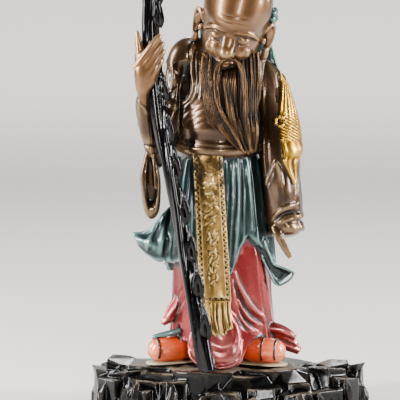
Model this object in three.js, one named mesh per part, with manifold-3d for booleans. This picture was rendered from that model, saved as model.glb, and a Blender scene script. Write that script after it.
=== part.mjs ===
// A lacquered figure of an old sage with a high bald head and a long beard, who leans on a gnarled staff.
// Three pieces: the carved figure, the staff that runs through the grip of its right hand, and the rock base.
// Millimetres, +Z up, the front faces -Y, and the origin is the middle of the base's flat underside.
import * as THREE from "three";
import { mergeVertices } from "three/addons/utils/BufferGeometryUtils.js";
import Module from "manifold-3d";

// Driving sizes
const FIGURE_HEIGHT = 400;
const BASE_LENGTH = 282;
const BASE_DEPTH = 188;
const BASE_HEIGHT = 48;
const CRAG_RISE = 9;
const STAFF_RADIUS = 8;
const SASH_THICKNESS = 2.4;
const SOLE_THICKNESS = 4;
const GRIP_CLEARANCE = 0.6;
const SEAT_GAP = 0.3;

// The figure is laid out on a canon of 400 parts from its soles to its crown. What follows is in parts.
const CANON = 400;
const part = FIGURE_HEIGHT / CANON;
const inParts = (millimetres) => millimetres / part;

const wasm = await Module();
wasm.setup();
const { Manifold, Mesh } = wasm;

const TURN = 2 * Math.PI;
const NO_RELIEF = () => 0;

// How far the easing may move the surface of each piece, in millimetres, and how small a face it may leave.
const FIGURE_SLACK = 0.45;
const STAFF_SLACK = 0.25;
const ROCK_SLACK = 0.3;
const EASING_ROUNDS = 4;
const LEAST_FACE = 0.02;

// A solid from points in parts and the faces between them.
function solid(points, faces, place = new THREE.Matrix4()) {
  const position = new THREE.Float32BufferAttribute(points.flat(), 3);
  const geometry = new THREE.BufferGeometry().setAttribute("position", position).setIndex(faces.flat());
  return solidOf(geometry.applyMatrix4(place).scale(part, part, part));
}

// A solid from a closed geometry in millimetres.
function solidOf(geometry) {
  const bare = geometry.clone();
  bare.deleteAttribute("normal");
  bare.deleteAttribute("uv");
  const merged = mergeVertices(bare, 1e-4);
  return new Manifold(
    new Mesh({
      numProp: 3,
      vertProperties: new Float32Array(merged.attributes.position.array),
      triVerts: new Uint32Array(merged.index.array),
    }),
  );
}

// One solid from overlapping forms. The hidden hollows between them are filled.
function joined(pieces) {
  const shells = Manifold.union(pieces).decompose();
  return Manifold.union(shells.filter((shell) => shell.volume() > 0));
}

// The same solid with fewer corners. A corner moves onto a neighbour where every face that ever met it there
// stays within the slack, in millimetres, and no face turns over.
function eased(made, slack) {
  const { vertProperties, triVerts, numProp } = made.getMesh();
  const count = vertProperties.length / numProp;
  const corners = [];
  for (let n = 0; n < count; n++) corners.push(new THREE.Vector3().fromArray(vertProperties, n * numProp));
  const faces = [];
  for (let n = 0; n < triVerts.length; n += 3) faces.push([...triVerts.slice(n, n + 3)]);
  const around = corners.map(() => new Set());
  faces.forEach((face, n) => face.forEach((corner) => around[corner].add(n)));
  const normalOf = ([a, b, c], swap = -1, by = null) => {
    const [p, q, r] = [a, b, c].map((corner) => (corner === swap ? by : corners[corner]));
    return new THREE.Vector3().subVectors(q, p).cross(new THREE.Vector3().subVectors(r, p));
  };
  const planes = corners.map((corner, n) =>
    [...around[n]].map((face) => {
      const normal = normalOf(faces[face]).normalize();
      return new THREE.Plane().setFromNormalAndCoplanarPoint(normal, corner);
    }),
  );
  const neighbours = (corner) => {
    const met = [...around[corner]].flatMap((face) => faces[face]);
    return new Set(met.filter((n) => n !== corner));
  };
  const fits = (from, to) => {
    const target = corners[to];
    if (planes[from].some((plane) => Math.abs(plane.distanceToPoint(target)) > slack)) return false;
    const near = neighbours(to);
    if ([...neighbours(from)].filter((n) => near.has(n)).length !== 2) return false;
    return [...around[from]].every((face) => {
      if (faces[face].includes(to)) return true;
      const before = normalOf(faces[face]);
      const after = normalOf(faces[face], from, target);
      return after.length() > LEAST_FACE && after.dot(before) > 0.5 * after.length() * before.length();
    });
  };
  for (let round = 0; round < EASING_ROUNDS; round++) {
    for (let from = 0; from < count; from++) {
      const far = (n) => corners[n].distanceTo(corners[from]);
      const options = [...neighbours(from)].sort((a, b) => far(a) - far(b));
      const to = options.find((option) => fits(from, option));
      if (to === undefined) continue;
      for (const face of around[from]) {
        if (faces[face].includes(to)) {
          faces[face].forEach((corner) => corner !== from && around[corner].delete(face));
          faces[face] = [];
        } else {
          faces[face] = faces[face].map((corner) => (corner === from ? to : corner));
          around[to].add(face);
        }
      }
      around[from].clear();
      planes[to].push(...planes[from]);
    }
  }
  const kept = faces.filter((face) => face.length);
  const geometry = new THREE.BufferGeometry().setFromPoints(corners).setIndex(kept.flat());
  return solidOf(geometry);
}

function meshOf(name, made, material) {
  const { vertProperties, triVerts, numProp } = made.getMesh();
  const geometry = new THREE.BufferGeometry();
  const corners = new THREE.InterleavedBuffer(new Float32Array(vertProperties), numProp);
  geometry.setAttribute("position", new THREE.InterleavedBufferAttribute(corners, 3, 0));
  geometry.setIndex(new THREE.BufferAttribute(new Uint32Array(triVerts), 1));
  const plain = geometry.toNonIndexed();
  plain.computeVertexNormals();
  const mesh = new THREE.Mesh(plain, material);
  mesh.name = name;
  return mesh;
}

// The numbers at a share of the way through rows of numbers, on a Catmull-Rom curve.
function along(rows, share) {
  const last = rows.length - 1;
  const at = Math.min(Math.max(share, 0), 1) * last;
  const i = Math.min(Math.floor(at), last - 1);
  const f = at - i;
  const row = (k) => rows[Math.min(Math.max(k, 0), last)];
  return rows[i].map((_, n) => {
    const [a, b, c, d] = [row(i - 1)[n], row(i)[n], row(i + 1)[n], row(i + 2)[n]];
    return b + 0.5 * f * (c - a + f * (2 * a - 5 * b + 4 * c - d + f * (3 * b - a - 3 * c + d)));
  });
}

// The same, read at a height: the first number of each row is its height, from high to low.
function atHeight(rows, z) {
  const last = rows.length - 1;
  const i = Math.max(0, Math.min(rows.filter((row) => row[0] > z).length - 1, last - 1));
  const share = (rows[i][0] - z) / (rows[i][0] - rows[i + 1][0]);
  return along(rows, (i + Math.min(Math.max(share, 0), 1)) / last);
}

// A closed skin over rings of points, with a point at each end.
function skin(rings, first, last, place) {
  const sides = rings[0].length;
  const faces = [];
  for (let k = 0; k < sides; k++) {
    const next = (k + 1) % sides;
    faces.push([0, 1 + next, 1 + k]);
    for (let r = 0; r < rings.length - 1; r++) {
      const [a, b] = [1 + r * sides, 1 + (r + 1) * sides];
      faces.push([a + k, a + next, b + next], [a + k, b + next, b + k]);
    }
    const end = 1 + (rings.length - 1) * sides;
    faces.push([end + sides, end + k, end + next]);
  }
  return solid([first, ...rings.flat(), last], faces, place);
}

// A form that stands upright: rows of [height, middle x, middle y, half width, half depth], from the
// top down. The relief adds to the radius. The hem gives the height where the form ends at each angle.
function stack(rows, { sides, levels, relief = NO_RELIEF, hem = null, place }) {
  const top = rows[0][0];
  const foot = rows[rows.length - 1][0];
  const rings = [];
  for (let level = 0; level <= levels; level++) {
    const ring = [];
    for (let k = 0; k < sides; k++) {
      const angle = (TURN * k) / sides;
      const end = hem ? hem(angle) : foot;
      const z = top + (end - top) * (level / levels);
      const [, x, y, wide, deep] = atHeight(rows, z);
      const more = relief(angle, z);
      ring.push([x + (wide + more) * Math.cos(angle), y + (deep + more) * Math.sin(angle), z]);
    }
    rings.push(ring);
  }
  const [, topX, topY] = rows[0];
  const [, footX, footY] = rows[rows.length - 1];
  return skin(rings.reverse(), [footX, footY, foot], [topX, topY, top], place);
}

// A form along a path: rows of [x, y, z, half width, half depth]. The half depth lies towards the front,
// given as a direction, and the relief adds to both.
function limb(rows, { sides, steps, relief = NO_RELIEF, front = [0, -1, 0], place }) {
  const rings = [];
  const ahead = new THREE.Vector3(...front);
  for (let step = 0; step <= steps; step++) {
    const share = step / steps;
    const [x, y, z, wide, deep] = along(rows, share);
    const before = new THREE.Vector3(...along(rows, share - 0.01));
    const path = new THREE.Vector3(...along(rows, share + 0.01)).sub(before).normalize();
    const across = new THREE.Vector3().crossVectors(path, ahead).normalize();
    const out = new THREE.Vector3().crossVectors(across, path);
    const ring = [];
    for (let k = 0; k < sides; k++) {
      const angle = (TURN * k) / sides;
      const more = relief(angle, share);
      const w = (wide + more) * Math.cos(angle);
      const d = (deep + more) * Math.sin(angle);
      ring.push([x + across.x * w + out.x * d, y + across.y * w + out.y * d, z + across.z * w + out.z * d]);
    }
    rings.push(ring);
  }
  return skin(rings.reverse(), rows[rows.length - 1].slice(0, 3), rows[0].slice(0, 3), place);
}

// An egg with its middle and three radii.
function ball([x, y, z], [wide, deep, high], sides = 12, place = new THREE.Matrix4()) {
  const egg = new THREE.SphereGeometry(1, sides, Math.max(4, Math.round(sides * 0.6)));
  egg.rotateX(Math.PI / 2).scale(wide, deep, high).translate(x, y, z);
  return solidOf(egg.applyMatrix4(place).scale(part, part, part));
}

// A sheet of even thickness: point(u, v) gives its front face for u and v from 0 to 1, and back is the step
// from its front face to its back face.
function sheet(point, columns, rows, back) {
  const points = [];
  const faces = [];
  const width = columns + 1;
  const count = width * (rows + 1);
  for (const depth of [0, 1]) {
    for (let j = 0; j <= rows; j++) {
      for (let i = 0; i <= columns; i++) {
        const [x, y, z] = point(i / columns, j / rows);
        points.push([x + back[0] * depth, y + back[1] * depth, z + back[2] * depth]);
      }
    }
  }
  for (let j = 0; j < rows; j++) {
    for (let i = 0; i < columns; i++) {
      const a = j * width + i;
      const [b, c, d] = [a + 1, a + width + 1, a + width];
      faces.push([a, d, c], [a, c, b], [count + a, count + c, count + d], [count + a, count + b, count + c]);
    }
  }
  const rim = [];
  for (let i = 0; i < columns; i++) rim.push(i);
  for (let j = 0; j < rows; j++) rim.push(j * width + columns);
  for (let i = columns; i > 0; i--) rim.push(rows * width + i);
  for (let j = rows; j > 0; j--) rim.push(j * width);
  rim.forEach((a, n) => {
    const b = rim[(n + 1) % rim.length];
    faces.push([a, b, count + b], [a, count + b, count + a]);
  });
  const made = solid(points, faces);
  return made.volume() > 0 ? made : solid(points, faces.map(([a, b, c]) => [a, c, b]));
}

// How far an angle is from another, from 0 to half a turn.
function apart(a, b) {
  const gap = Math.abs(a - b) % TURN;
  return Math.min(gap, TURN - gap);
}

// Pleats that run down a garment: ridges at even angles with uneven spacing, deeper towards the hem.
function pleats(count, height, top, foot, drift = 0) {
  const middles = [];
  for (let k = 0; k < count; k++) {
    middles.push((TURN * (k + 0.28 * Math.sin(2.4 * k))) / count);
  }
  return (angle, z) => {
    const down = Math.min(Math.max((top - z) / (top - foot), 0), 1);
    const wide = (0.46 * TURN) / count;
    let most = 0;
    for (const middle of middles) {
      const ridge = 1 - apart(angle, middle + drift * down) / wide;
      if (ridge > most) most = ridge;
    }
    return height * (0.25 + 0.75 * down) * (most * most - 0.4);
  };
}

// Head. Its own frame is upright and looks to -Y, and is then turned as the head is carried.
const HEAD_AT = [4, -20, 336];
const HEAD_PITCH = THREE.MathUtils.degToRad(20);
const HEAD_ROLL = THREE.MathUtils.degToRad(11);
const HEAD_YAW = THREE.MathUtils.degToRad(-5);

function headPlace() {
  const place = new THREE.Matrix4().makeTranslation(...HEAD_AT);
  place.multiply(new THREE.Matrix4().makeRotationY(HEAD_ROLL));
  place.multiply(new THREE.Matrix4().makeRotationX(HEAD_PITCH));
  return place.multiply(new THREE.Matrix4().makeRotationZ(HEAD_YAW));
}

// A high egg of a skull, with the face on its lower half in three equal bands from brow to chin.
const skullRows = [
  [67, 0, 4, 5, 5],
  [63, 0, 4, 16, 17],
  [52, 0, 4, 27, 29],
  [35, 0, 4, 33, 35],
  [18, 0, 4, 34, 35],
  [4, 0, 3, 31.5, 32],
  [-9, 0, 1, 29, 30],
  [-22, 0, -2, 26.5, 27],
  [-34, 0, -6, 20, 22],
  [-42, 0, -9, 10, 12],
];
const NOSE = [[0, -27, 4, 3, 3.5], [0, -33, -7, 3.6, 4.4], [0, -37, -15, 5, 5.4], [0, -34, -19, 3, 3.2]];
const LOWER_LIP = [[-8, -28, -27, 1, 1.2], [0, -31.5, -28.5, 2.2, 2.6], [8, -28, -27, 1, 1.2]];

// The round of the forehead and the two cheeks, which swell from the egg.
function swelling(angle, z) {
  const bump = (middle, height, wide, high) =>
    Math.exp(-((apart(angle, middle) / wide) ** 2) - ((z - height) / high) ** 2);
  const cheeks = bump(-TURN / 4 + 0.5, -14, 0.3, 9) + bump(-TURN / 4 - 0.5, -14, 0.3, 9);
  return 4 * bump(-TURN / 4, 31, 0.7, 20) + 4 * cheeks;
}

function head() {
  const place = headPlace();
  const upwards = [0, 0, 1];
  const pieces = [
    stack(skullRows, { sides: 24, levels: 14, relief: swelling, place }),
    limb(NOSE, { sides: 7, steps: 5, place }),
    ball([0, -27, -36], [9, 7, 7], 8, place),
    limb(LOWER_LIP, { sides: 4, steps: 2, front: upwards, place }),
  ];
  for (const side of [-1, 1]) {
    const brow = [
      [side * 27, -15, -1, 2, 2.2],
      [side * 20, -25, 7, 2.8, 3],
      [side * 10, -30, 9.5, 3, 3],
      [side * 2, -30.5, 7, 2.2, 2.4],
    ];
    pieces.push(limb(brow, { sides: 6, steps: 6, front: upwards, place }));
    pieces.push(ball([side * 12, -24.5, -3], [7.2, 5, 4.6], 10, place));
    pieces.push(ball([side * 5, -32.5, -16.5], [3.4, 3.6, 3], 7, place));
    pieces.push(...ear(side, place));
  }
  return pieces;
}

function ear(side, place) {
  const rim = [
    [side * 31, -1, 0, 2, 2.4],
    [side * 35, 1, 8, 2.4, 2.8],
    [side * 37.5, 8, 8, 2.4, 2.8],
    [side * 37.5, 9, -3, 2.2, 2.8],
    [side * 35, 5, -15, 3, 3.6],
    [side * 33, 1, -24, 3.6, 4.4],
    [side * 31, -1, -29, 2, 2.2],
  ];
  const shell = [[side * 30, 3, 6, 2.5, 4], [side * 34, 5, -3, 1.8, 5], [side * 31, 3, -20, 2.4, 4]];
  return [limb(rim, { sides: 6, steps: 9, place }), limb(shell, { sides: 5, steps: 3, place })];
}

// Headcloth. A cap behind the ears, a knot at the figure's left, and a tail down the back.
const capRows = [
  [24, 0, 14, 18, 17],
  [16, 0, 12, 30, 27],
  [-2, 0, 11, 33, 29],
  [-20, 0, 9, 31, 27],
  [-32, 0, 8, 24, 22],
];
const KNOT = [35.5, 12, 15];
const backTail = [
  [6, 12, 330, 12, 5],
  [5, 22, 312, 14, 4],
  [3, 29, 292, 15, 3.5],
  [2, 35, 268, 14, 3],
  [3, 37, 246, 10, 2],
];

function veilPoint(u, v) {
  const outer = 39 + 12 * v;
  const inner = 24 + 4 * v;
  return [inner + (outer - inner) * u, 4 - 4 * Math.sin(Math.PI * u) + 3 * v, 334 - 50 * v];
}

function headcloth() {
  const place = headPlace();
  return [
    stack(capRows, { sides: 20, levels: 5, relief: strands(10, 1.6), place }),
    ball(KNOT, [6, 10, 10], 7, place),
    limb(backTail, { sides: 8, steps: 5, front: [0, 1, 0] }),
    sheet(veilPoint, 2, 2, [0, 4, 0]),
  ];
}

// Beard. Broad locks hang from the jaw and gather towards one side, with strands cut along each.
const BEARD_FOOT = 213;
const beardRows = [
  [306, 1, -20, 18, 9],
  [293, 1, -28, 26, 12],
  [280, 0, -35, 28, 12],
  [262, 1, -41, 27, 12],
  [245, 3, -44, 24, 11],
  [231, 7, -46, 18, 9],
  [221, 11, -47, 11, 7],
  [BEARD_FOOT + 3, 14, -47, 4, 3],
];
const BEARD_LOCKS = 6;

function strands(count, height) {
  return (angle) => height * (Math.abs(Math.sin((count * angle) / 2)) - 0.5);
}

// One of the locks across the beard, from -1 at the figure's right to 1 at its left.
function lockRows(out) {
  const rootX = 1 + 25 * out;
  const tipX = 14 + 12 * out;
  const near = 44 - 10 * out * out;
  const foot = BEARD_FOOT + 5 * Math.abs(Math.sin(5.8 * out));
  return [
    [rootX, 6 - near, 301 + 9 * Math.abs(out), 4, 3],
    [rootX + 0.5 * out, -3 - near, 285, 6.2, 5],
    [0.8 * rootX + 0.1 * tipX, -7 - near, 259, 6.2, 5.4],
    [0.45 * rootX + 0.55 * tipX, -55 + 3 * Math.abs(out), 234, 4.6, 5],
    [tipX, -53 + 3 * Math.abs(out), foot, 1, 1.4],
  ];
}

function whiskerRows(side) {
  return [
    [-2 + side * 2.5, -45, 304, 1.6, 2],
    [-2 + side * 11, -46, 299, 3, 3],
    [0 + side * 15.5, -50, 283, 3.6, 3.4],
    [1 + side * 14.5, -54.5, 259, 3.6, 3.4],
    [9 + side * 8, -58, 236, 3.2, 3.2],
    [14 + side * 4, -57, 217, 1, 1.2],
  ];
}
const CHIN_LOCK = [
  [-4, -39, 292, 3, 3],
  [-3, -49, 278, 4.2, 4],
  [1, -56, 253, 4.4, 4.4],
  [9, -58, 226, 1.4, 2],
];

function beard() {
  const pieces = [stack(beardRows, { sides: 12, levels: 5 })];
  for (let k = 0; k < BEARD_LOCKS; k++) {
    const rows = lockRows((2 * k) / (BEARD_LOCKS - 1) - 1);
    pieces.push(limb(rows, { sides: 7, steps: 7, relief: strands(5, 0.9) }));
  }
  for (const side of [-1, 1]) pieces.push(limb(whiskerRows(side), { sides: 6, steps: 8 }));
  pieces.push(limb(CHIN_LOCK, { sides: 6, steps: 5 }));
  return pieces;
}

// Jacket. Its body bulges over a rolled hem, and the collar stands up round the beard.
const WAIST = 216;
const torsoRows = [
  [334, 0, 2, 8, 8],
  [328, 0, 2, 20, 15],
  [316, -3, 2, 36, 22],
  [302, -6, 1, 44, 28],
  [282, -9, -1, 45, 33],
  [258, -11, -1, 43, 38],
  [238, -12, -2, 43, 41],
  [225, -12, -2, 41.5, 39],
  [219, -12, -2, 43.5, 41.5],
  [213, -12, -2, 43.5, 41.5],
  [208, -12, -2, 40, 38],
];
const COLLARS = [
  [[-33, 322], [-35, 308], [-35, 288], [-39, 262]],
  [[31, 308], [33, 296], [31, 276], [29, 250]],
];
const BELLY_FOLDS = 4;

// A point on the front of an upright form, at a distance from its middle and a height.
function onFront(rows, x, z, proud = 0) {
  const [, middleX, middleY, wide, deep] = atHeight(rows, z);
  const reach = Math.sqrt(Math.max(0.06, 1 - ((x - middleX) / wide) ** 2));
  return [x, middleY - deep * reach - proud, z];
}

// A cord-like fold over the front of an upright form, through points of [x, z], thin at both ends.
function fold(rows, points, size, { sides = 5, steps = 6, proud = 0 } = {}) {
  const last = points.length - 1;
  const path = points.map(([x, z], k) => {
    const swell = size * (0.35 + 0.65 * Math.sin((Math.PI * (k + 0.4)) / (last + 0.8)));
    return [...onFront(rows, x, z, proud), swell, swell];
  });
  return limb(path, { sides, steps });
}

function bellyFold(k) {
  const drop = 9.5 * k;
  return [[-14, 254 - drop], [-26, 249 - drop], [-38, 240 - drop], [-46, 228 - drop * 0.9]];
}

function jacketBody() {
  const pieces = [stack(torsoRows, { sides: 24, levels: 12 })];
  for (const points of COLLARS) pieces.push(fold(torsoRows, points, 4, { proud: 1 }));
  for (let k = 0; k < BELLY_FOLDS; k++) pieces.push(fold(torsoRows, bellyFold(k), 2.6));
  return pieces;
}

// The sleeve of the arm that holds the staff: it rises to the wrist, and its mouth hangs below the elbow.
const staffArmRows = [
  [-20, 2, 312, 13, 14],
  [-40, 0, 306, 19, 19],
  [-50, -2, 286, 14, 17],
  [-53, -5, 264, 12, 15],
  [-58, -9, 244, 13, 15],
  [-65, -12, 226, 12, 13],
  [-71, -14, 210, 8, 9],
];
const forearmRows = [
  [-75, -16, 208, 5, 7],
  [-78, -19, 221, 6, 9],
  [-81, -23, 238, 7, 9],
  [-84, -28, 252, 7, 8.5],
  [-85, -32, 261, 6.4, 7.4],
  [-84.5, -35, 268, 5.8, 6],
];
const armpitRows = [
  [264, -65, -9, 6, 6],
  [248, -67, -10, 13, 11],
  [228, -69, -12, 12, 12],
  [208, -71, -13, 8, 10],
  [196, -72, -13, 4, 6],
];
const fallRows = [
  [221, -77, -17, 5, 7],
  [210, -77.5, -16, 6, 10],
  [192, -77.5, -15, 8.4, 13],
  [174, -77, -14, 9.8, 15],
  [157, -75.5, -14, 8.2, 13],
  [147, -76, -14, 5.4, 9],
  [141, -76.5, -14, 2, 4],
];
const SHOULDER_POINTS = [
  [[-55, -14, 302, 6, 5], [-60, -18, 288, 3.6, 4], [-61.5, -19, 277, 2.6, 3], [-62, -19, 270, 0.8, 0.8]],
  [[-44, -20, 298, 6, 5], [-49, -24, 285, 4, 4], [-52, -25, 276, 2.6, 2.6], [-53, -25, 269, 0.8, 0.8]],
];

// The hollow down the front of the hanging mouth.
function fallHollow(angle, z) {
  const across = Math.exp(-((apart(angle, -TURN / 4) / 0.42) ** 2));
  const down = Math.sin((Math.PI * Math.min(Math.max(212 - z, 0), 62)) / 62);
  return -8 * across * down;
}

function staffSleeve() {
  const pieces = [
    limb(staffArmRows, { sides: 12, steps: 9 }),
    limb(forearmRows, { sides: 10, steps: 6 }),
    stack(armpitRows, { sides: 8, levels: 3 }),
    stack(fallRows, { sides: 18, levels: 8, relief: fallHollow }),
  ];
  for (const rows of SHOULDER_POINTS) pieces.push(limb(rows, { sides: 5, steps: 5 }));
  return pieces;
}

// The sleeve of the lowered arm, with a folded cuff and the flap of cloth under it.
const loweredRows = [
  [26, 4, 300, 10, 13],
  [36, 2, 288, 14, 16],
  [42, -1, 266, 17, 19],
  [47, -4, 243, 19.5, 21],
  [49.5, -6, 220, 20.5, 22.5],
  [50, -8, 192, 19.5, 22.5],
  [52.5, -9, 162, 19.5, 23],
  [56, -10, 143, 17, 22],
  [57, -10, 130, 15, 19],
];
const cuffRows = [
  [147, 56.5, -10, 15, 20],
  [142, 57, -10.5, 18, 24],
  [136, 57.5, -11, 17, 22.5],
  [129, 58, -11, 18, 23],
  [122, 58, -10, 15, 19],
  [117, 57, -9, 8, 10],
];
const FLAP = [[46, -26, 140, 5, 3], [50, -30, 128, 6, 3], [56, -30, 114, 4, 2], [61, -28, 103, 1.6, 1.2]];
const CUFF_FOLDS = [
  [[43, 139], [50, 147], [60, 149], [69, 146]],
  [[42, 136], [48, 128], [56, 122], [66, 124]],
  [[40, 196], [44, 184], [48, 168]],
  [[34, 286], [36, 268], [38, 246]],
];

// The same sleeve read by height, for what lies on it.
const loweredByHeight = loweredRows.map(([x, y, z, wide, deep]) => [z, x, y, wide, deep]);

function loweredSleeve() {
  const pieces = [
    limb(loweredRows, { sides: 16, steps: 12 }),
    stack(cuffRows, { sides: 16, levels: 7 }),
    limb(FLAP, { sides: 5, steps: 4 }),
  ];
  for (const points of CUFF_FOLDS) pieces.push(fold(loweredByHeight, points, 2.4));
  return pieces;
}

// Crane in low relief on the lowered sleeve, laid out by its angle round the sleeve and its height.
const CRANE_BODY = [-0.78, 240];
const CRANE_FEATHERS = 5;
const TAIL = [[-1.0, 228, 5], [-0.98, 214, 4.4], [-0.8, 196, 3.4], [-0.66, 181, 1.6]];

function onSleeve(angle, z, proud = 0) {
  const [, x, y, wide, deep] = atHeight(loweredByHeight, z);
  return [x + (wide + proud) * Math.cos(angle), y + (deep + proud) * Math.sin(angle), z];
}

function featherRows(share) {
  const [bodyAngle, bodyZ] = CRANE_BODY;
  const foot = bodyAngle - 0.5 + 1.15 * share;
  return [
    [...onSleeve(foot, bodyZ - 14 * share, 1), 2.4, 2],
    [...onSleeve(foot + 0.1, bodyZ + 14 - 8 * share, 1.6), 3, 2.2],
    [...onSleeve(-0.62 + 0.62 * share, bodyZ + 30 - 6 * share, 1.2), 2.4, 2],
    [...onSleeve(-0.45 + 0.4 * share, 289 - 18 * share, 1), 0.8, 0.8],
  ];
}

function crane() {
  const [angle, z] = CRANE_BODY;
  const tail = TAIL.map(([turn, height, size]) => [...onSleeve(turn, height, 0), size, size * 0.8]);
  const pieces = [
    ball(onSleeve(angle + 0.1, z - 6, -1), [10, 8, 13], 7),
    ball(onSleeve(angle - 0.72, z + 8, 1), [4.6, 4, 4.6], 5),
    limb(tail, { sides: 5, steps: 3 }),
  ];
  for (let k = 0; k < CRANE_FEATHERS; k++) {
    pieces.push(limb(featherRows(k / (CRANE_FEATHERS - 1)), { sides: 5, steps: 5 }));
  }
  return pieces;
}

// Green robe, which shows below the jacket and ends in a cut and pointed hem with a flare at each side.
const greenRows = [
  [WAIST, -12, -1, 39, 36],
  [186, -10, 0, 44, 38],
  [150, -9, 1, 50, 41],
  [112, -9, 1, 54, 43],
  [84, -9, 1, 56, 44],
];
const greenRidges = pleats(15, 4.4, WAIST, 100, 0.1);

// The cut of its front edge, as the height at each x: a point beside the sash, and a peak over the red skirt.
const HEM_CUT = [
  [-66, 101],
  [-44, 106],
  [-20, 98],
  [2, 92],
  [11, 117],
  [21, 132],
  [29, 124],
  [37, 115],
  [47, 98],
];

function greenHem(angle) {
  const x = -9 + 55 * Math.cos(angle);
  if (Math.sin(angle) > 0) return 94 + 4 * Math.sin(7 * angle + 0.8);
  const i = Math.max(0, Math.min(HEM_CUT.filter(([at]) => at < x).length - 1, HEM_CUT.length - 2));
  const [[x0, z0], [x1, z1]] = [HEM_CUT[i], HEM_CUT[i + 1]];
  return z0 + (z1 - z0) * Math.min(1, (x - x0) / (x1 - x0));
}

const LEFT_FLARE = [
  [-50, -4, 132, 26, 5],
  [-62, -8, 130, 25, 3.6],
  [-74, -12, 119, 19, 2.8],
  [-88, -10, 121, 11, 2.4],
  [-98, -6, 125, 7, 2],
];
const RIGHT_FLARE = [
  [36, -12, 126, 6, 5],
  [40, -15, 108, 5, 5],
  [46, -18, 96, 7, 6],
  [53, -19, 89, 11, 8],
  [58, -19, 84, 13, 9],
];
const GREEN_FOLDS = [
  [[19, 206], [21, 176], [22, 150], [22, 131]],
  [[27, 204], [31, 170], [35, 138], [37, 112]],
  [[8, 206], [7, 170], [3, 134], [-3, 106]],
];

function greenRobe() {
  const pieces = [stack(greenRows, { sides: 46, levels: 6, relief: greenRidges, hem: greenHem })];
  pieces.push(limb(LEFT_FLARE, { sides: 12, steps: 7 }));
  pieces.push(limb(RIGHT_FLARE, { sides: 9, steps: 5 }));
  for (const points of GREEN_FOLDS) pieces.push(fold(greenRows, points, 3.6, { proud: 0.6 }));
  return pieces;
}

// Red underskirt. It reaches the ground in a rounded panel between the feet, and is lifted over the shoes.
const redRows = [
  [140, -8, 0, 44, 37],
  [110, -8, 0, 47, 38],
  [70, -7, 0, 49, 40],
  [35, -6, 0, 52, 41],
  [12, -5, 0, 55, 43],
  [0, -5, 0, 56, 44],
];
const redRidges = pleats(13, 4.4, 140, 0, 0.3);
const panelRows = [
  [78, -14, -34, 10, 7],
  [48, -11, -38, 18, 10],
  [24, -8, -45, 21, 11],
  [8, -6, -48, 19, 11],
  [0.6, -5, -48, 13, 8],
];
const HEM_FLARES = [
  [[38, -10, 36, 8, 9], [50, -12, 32, 8, 6], [60, -12, 25, 7, 4], [66, -11, 18, 4, 2.4]],
  [[40, -6, 22, 10, 9], [54, -8, 18, 9, 7], [65, -8, 13, 6, 4], [70, -8, 10, 3, 2]],
  [[-44, -12, 62, 6, 8], [-50, -17, 44, 8, 9], [-55, -20, 30, 8, 8], [-60, -22, 23, 4, 4]],
];
const RED_FOLDS = [
  [[-2, 99], [8, 72], [26, 49], [45, 34]],
  [[-3, 88], [3, 60], [16, 40], [35, 30]],
  [[-3, 74], [1, 50], [10, 33], [26, 26]],
  [[26, 118], [33, 92], [38, 66], [42, 44]],
];

function redHem(angle) {
  const x = -5 + 56 * Math.cos(angle);
  if (Math.sin(angle) > 0.1) return 0;
  const overLeft = 24 * Math.exp(-(((x + 48) / 15) ** 4));
  const overRight = 26 * Math.exp(-(((x - 34) / 19) ** 4));
  return overLeft + overRight;
}

function redSkirt() {
  const pieces = [stack(redRows, { sides: 42, levels: 6, relief: redRidges, hem: redHem })];
  pieces.push(stack(panelRows, { sides: 12, levels: 6 }));
  for (const rows of HEM_FLARES) pieces.push(limb(rows, { sides: 7, steps: 5 }));
  for (const points of RED_FOLDS) pieces.push(fold(redRows, points, 3, { proud: 0.6 }));
  return pieces;
}

// Shoes, turned out to both sides, each with a sole, a rounded toe and raised bands.
const SHOE_LENGTH = 56;
const SHOE_HEIGHT = 26;
const LEFT_BANDS = [0.86];
const RIGHT_BANDS = [0.6, 0.85];

function shoe(toe, heel, bands) {
  const [dx, dy] = [toe[0] - heel[0], toe[1] - heel[1]];
  const at = (share, height, wide, high) => [heel[0] + dx * share, heel[1] + dy * share, height, wide, high];
  const sole = inParts(SOLE_THICKNESS);
  const lift = sole + SHOE_HEIGHT * 0.36;
  const upper = [
    at(0.1, lift, 8, 7),
    at(0.35, lift, 11, 10.5),
    at(0.65, lift, 13, 11.5),
    at(0.85, lift, 12.5, 11),
    at(0.97, lift, 9, 8),
    at(1, lift, 4, 4),
  ];
  const ground = [[0, 9], [0.35, 11], [0.7, 14], [0.92, 12], [1.03, 6]];
  const edge = [...ground.map(([share, wide]) => [share, -wide]), ...ground.reverse()];
  const outline = edge.map(([share, wide]) => {
    const aside = wide / SHOE_LENGTH;
    return new THREE.Vector2(heel[0] + dx * share - dy * aside, heel[1] + dy * share + dx * aside);
  });
  const slab = new THREE.ExtrudeGeometry(new THREE.Shape(outline), { depth: sole, bevelEnabled: false });
  slab.scale(part, part, part);
  const pieces = [limb(upper, { sides: 12, steps: 7, front: [0, 0, 1] }), solidOf(slab)];
  for (const share of bands) {
    const [x, y, , wide, high] = along(upper, (share - 0.1) / 0.9);
    const across = [-dy / SHOE_LENGTH, dx / SHOE_LENGTH];
    const arch = [-0.9, -0.6, 0, 0.6, 0.9].map((out) => {
      const up = Math.sqrt(1 - out * out);
      return [x + across[0] * wide * out, y + across[1] * wide * out, lift + high * up, 1.6, 1.4];
    });
    pieces.push(limb(arch, { sides: 5, steps: 6, front: [dx, dy, 0] }));
  }
  return pieces;
}

function shoes() {
  return [...shoe([-80, -28], [-28, -8], LEFT_BANDS), ...shoe([55, -38], [6, -20], RIGHT_BANDS)];
}

// Gilt sash: a long flat end with a raised edge, and a fringe of cords.
const SASH_TOP = 212;
const SASH_FOOT = 66;
const FRINGE_FOOT = 33;
const FRINGE_CORDS = 8;

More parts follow.
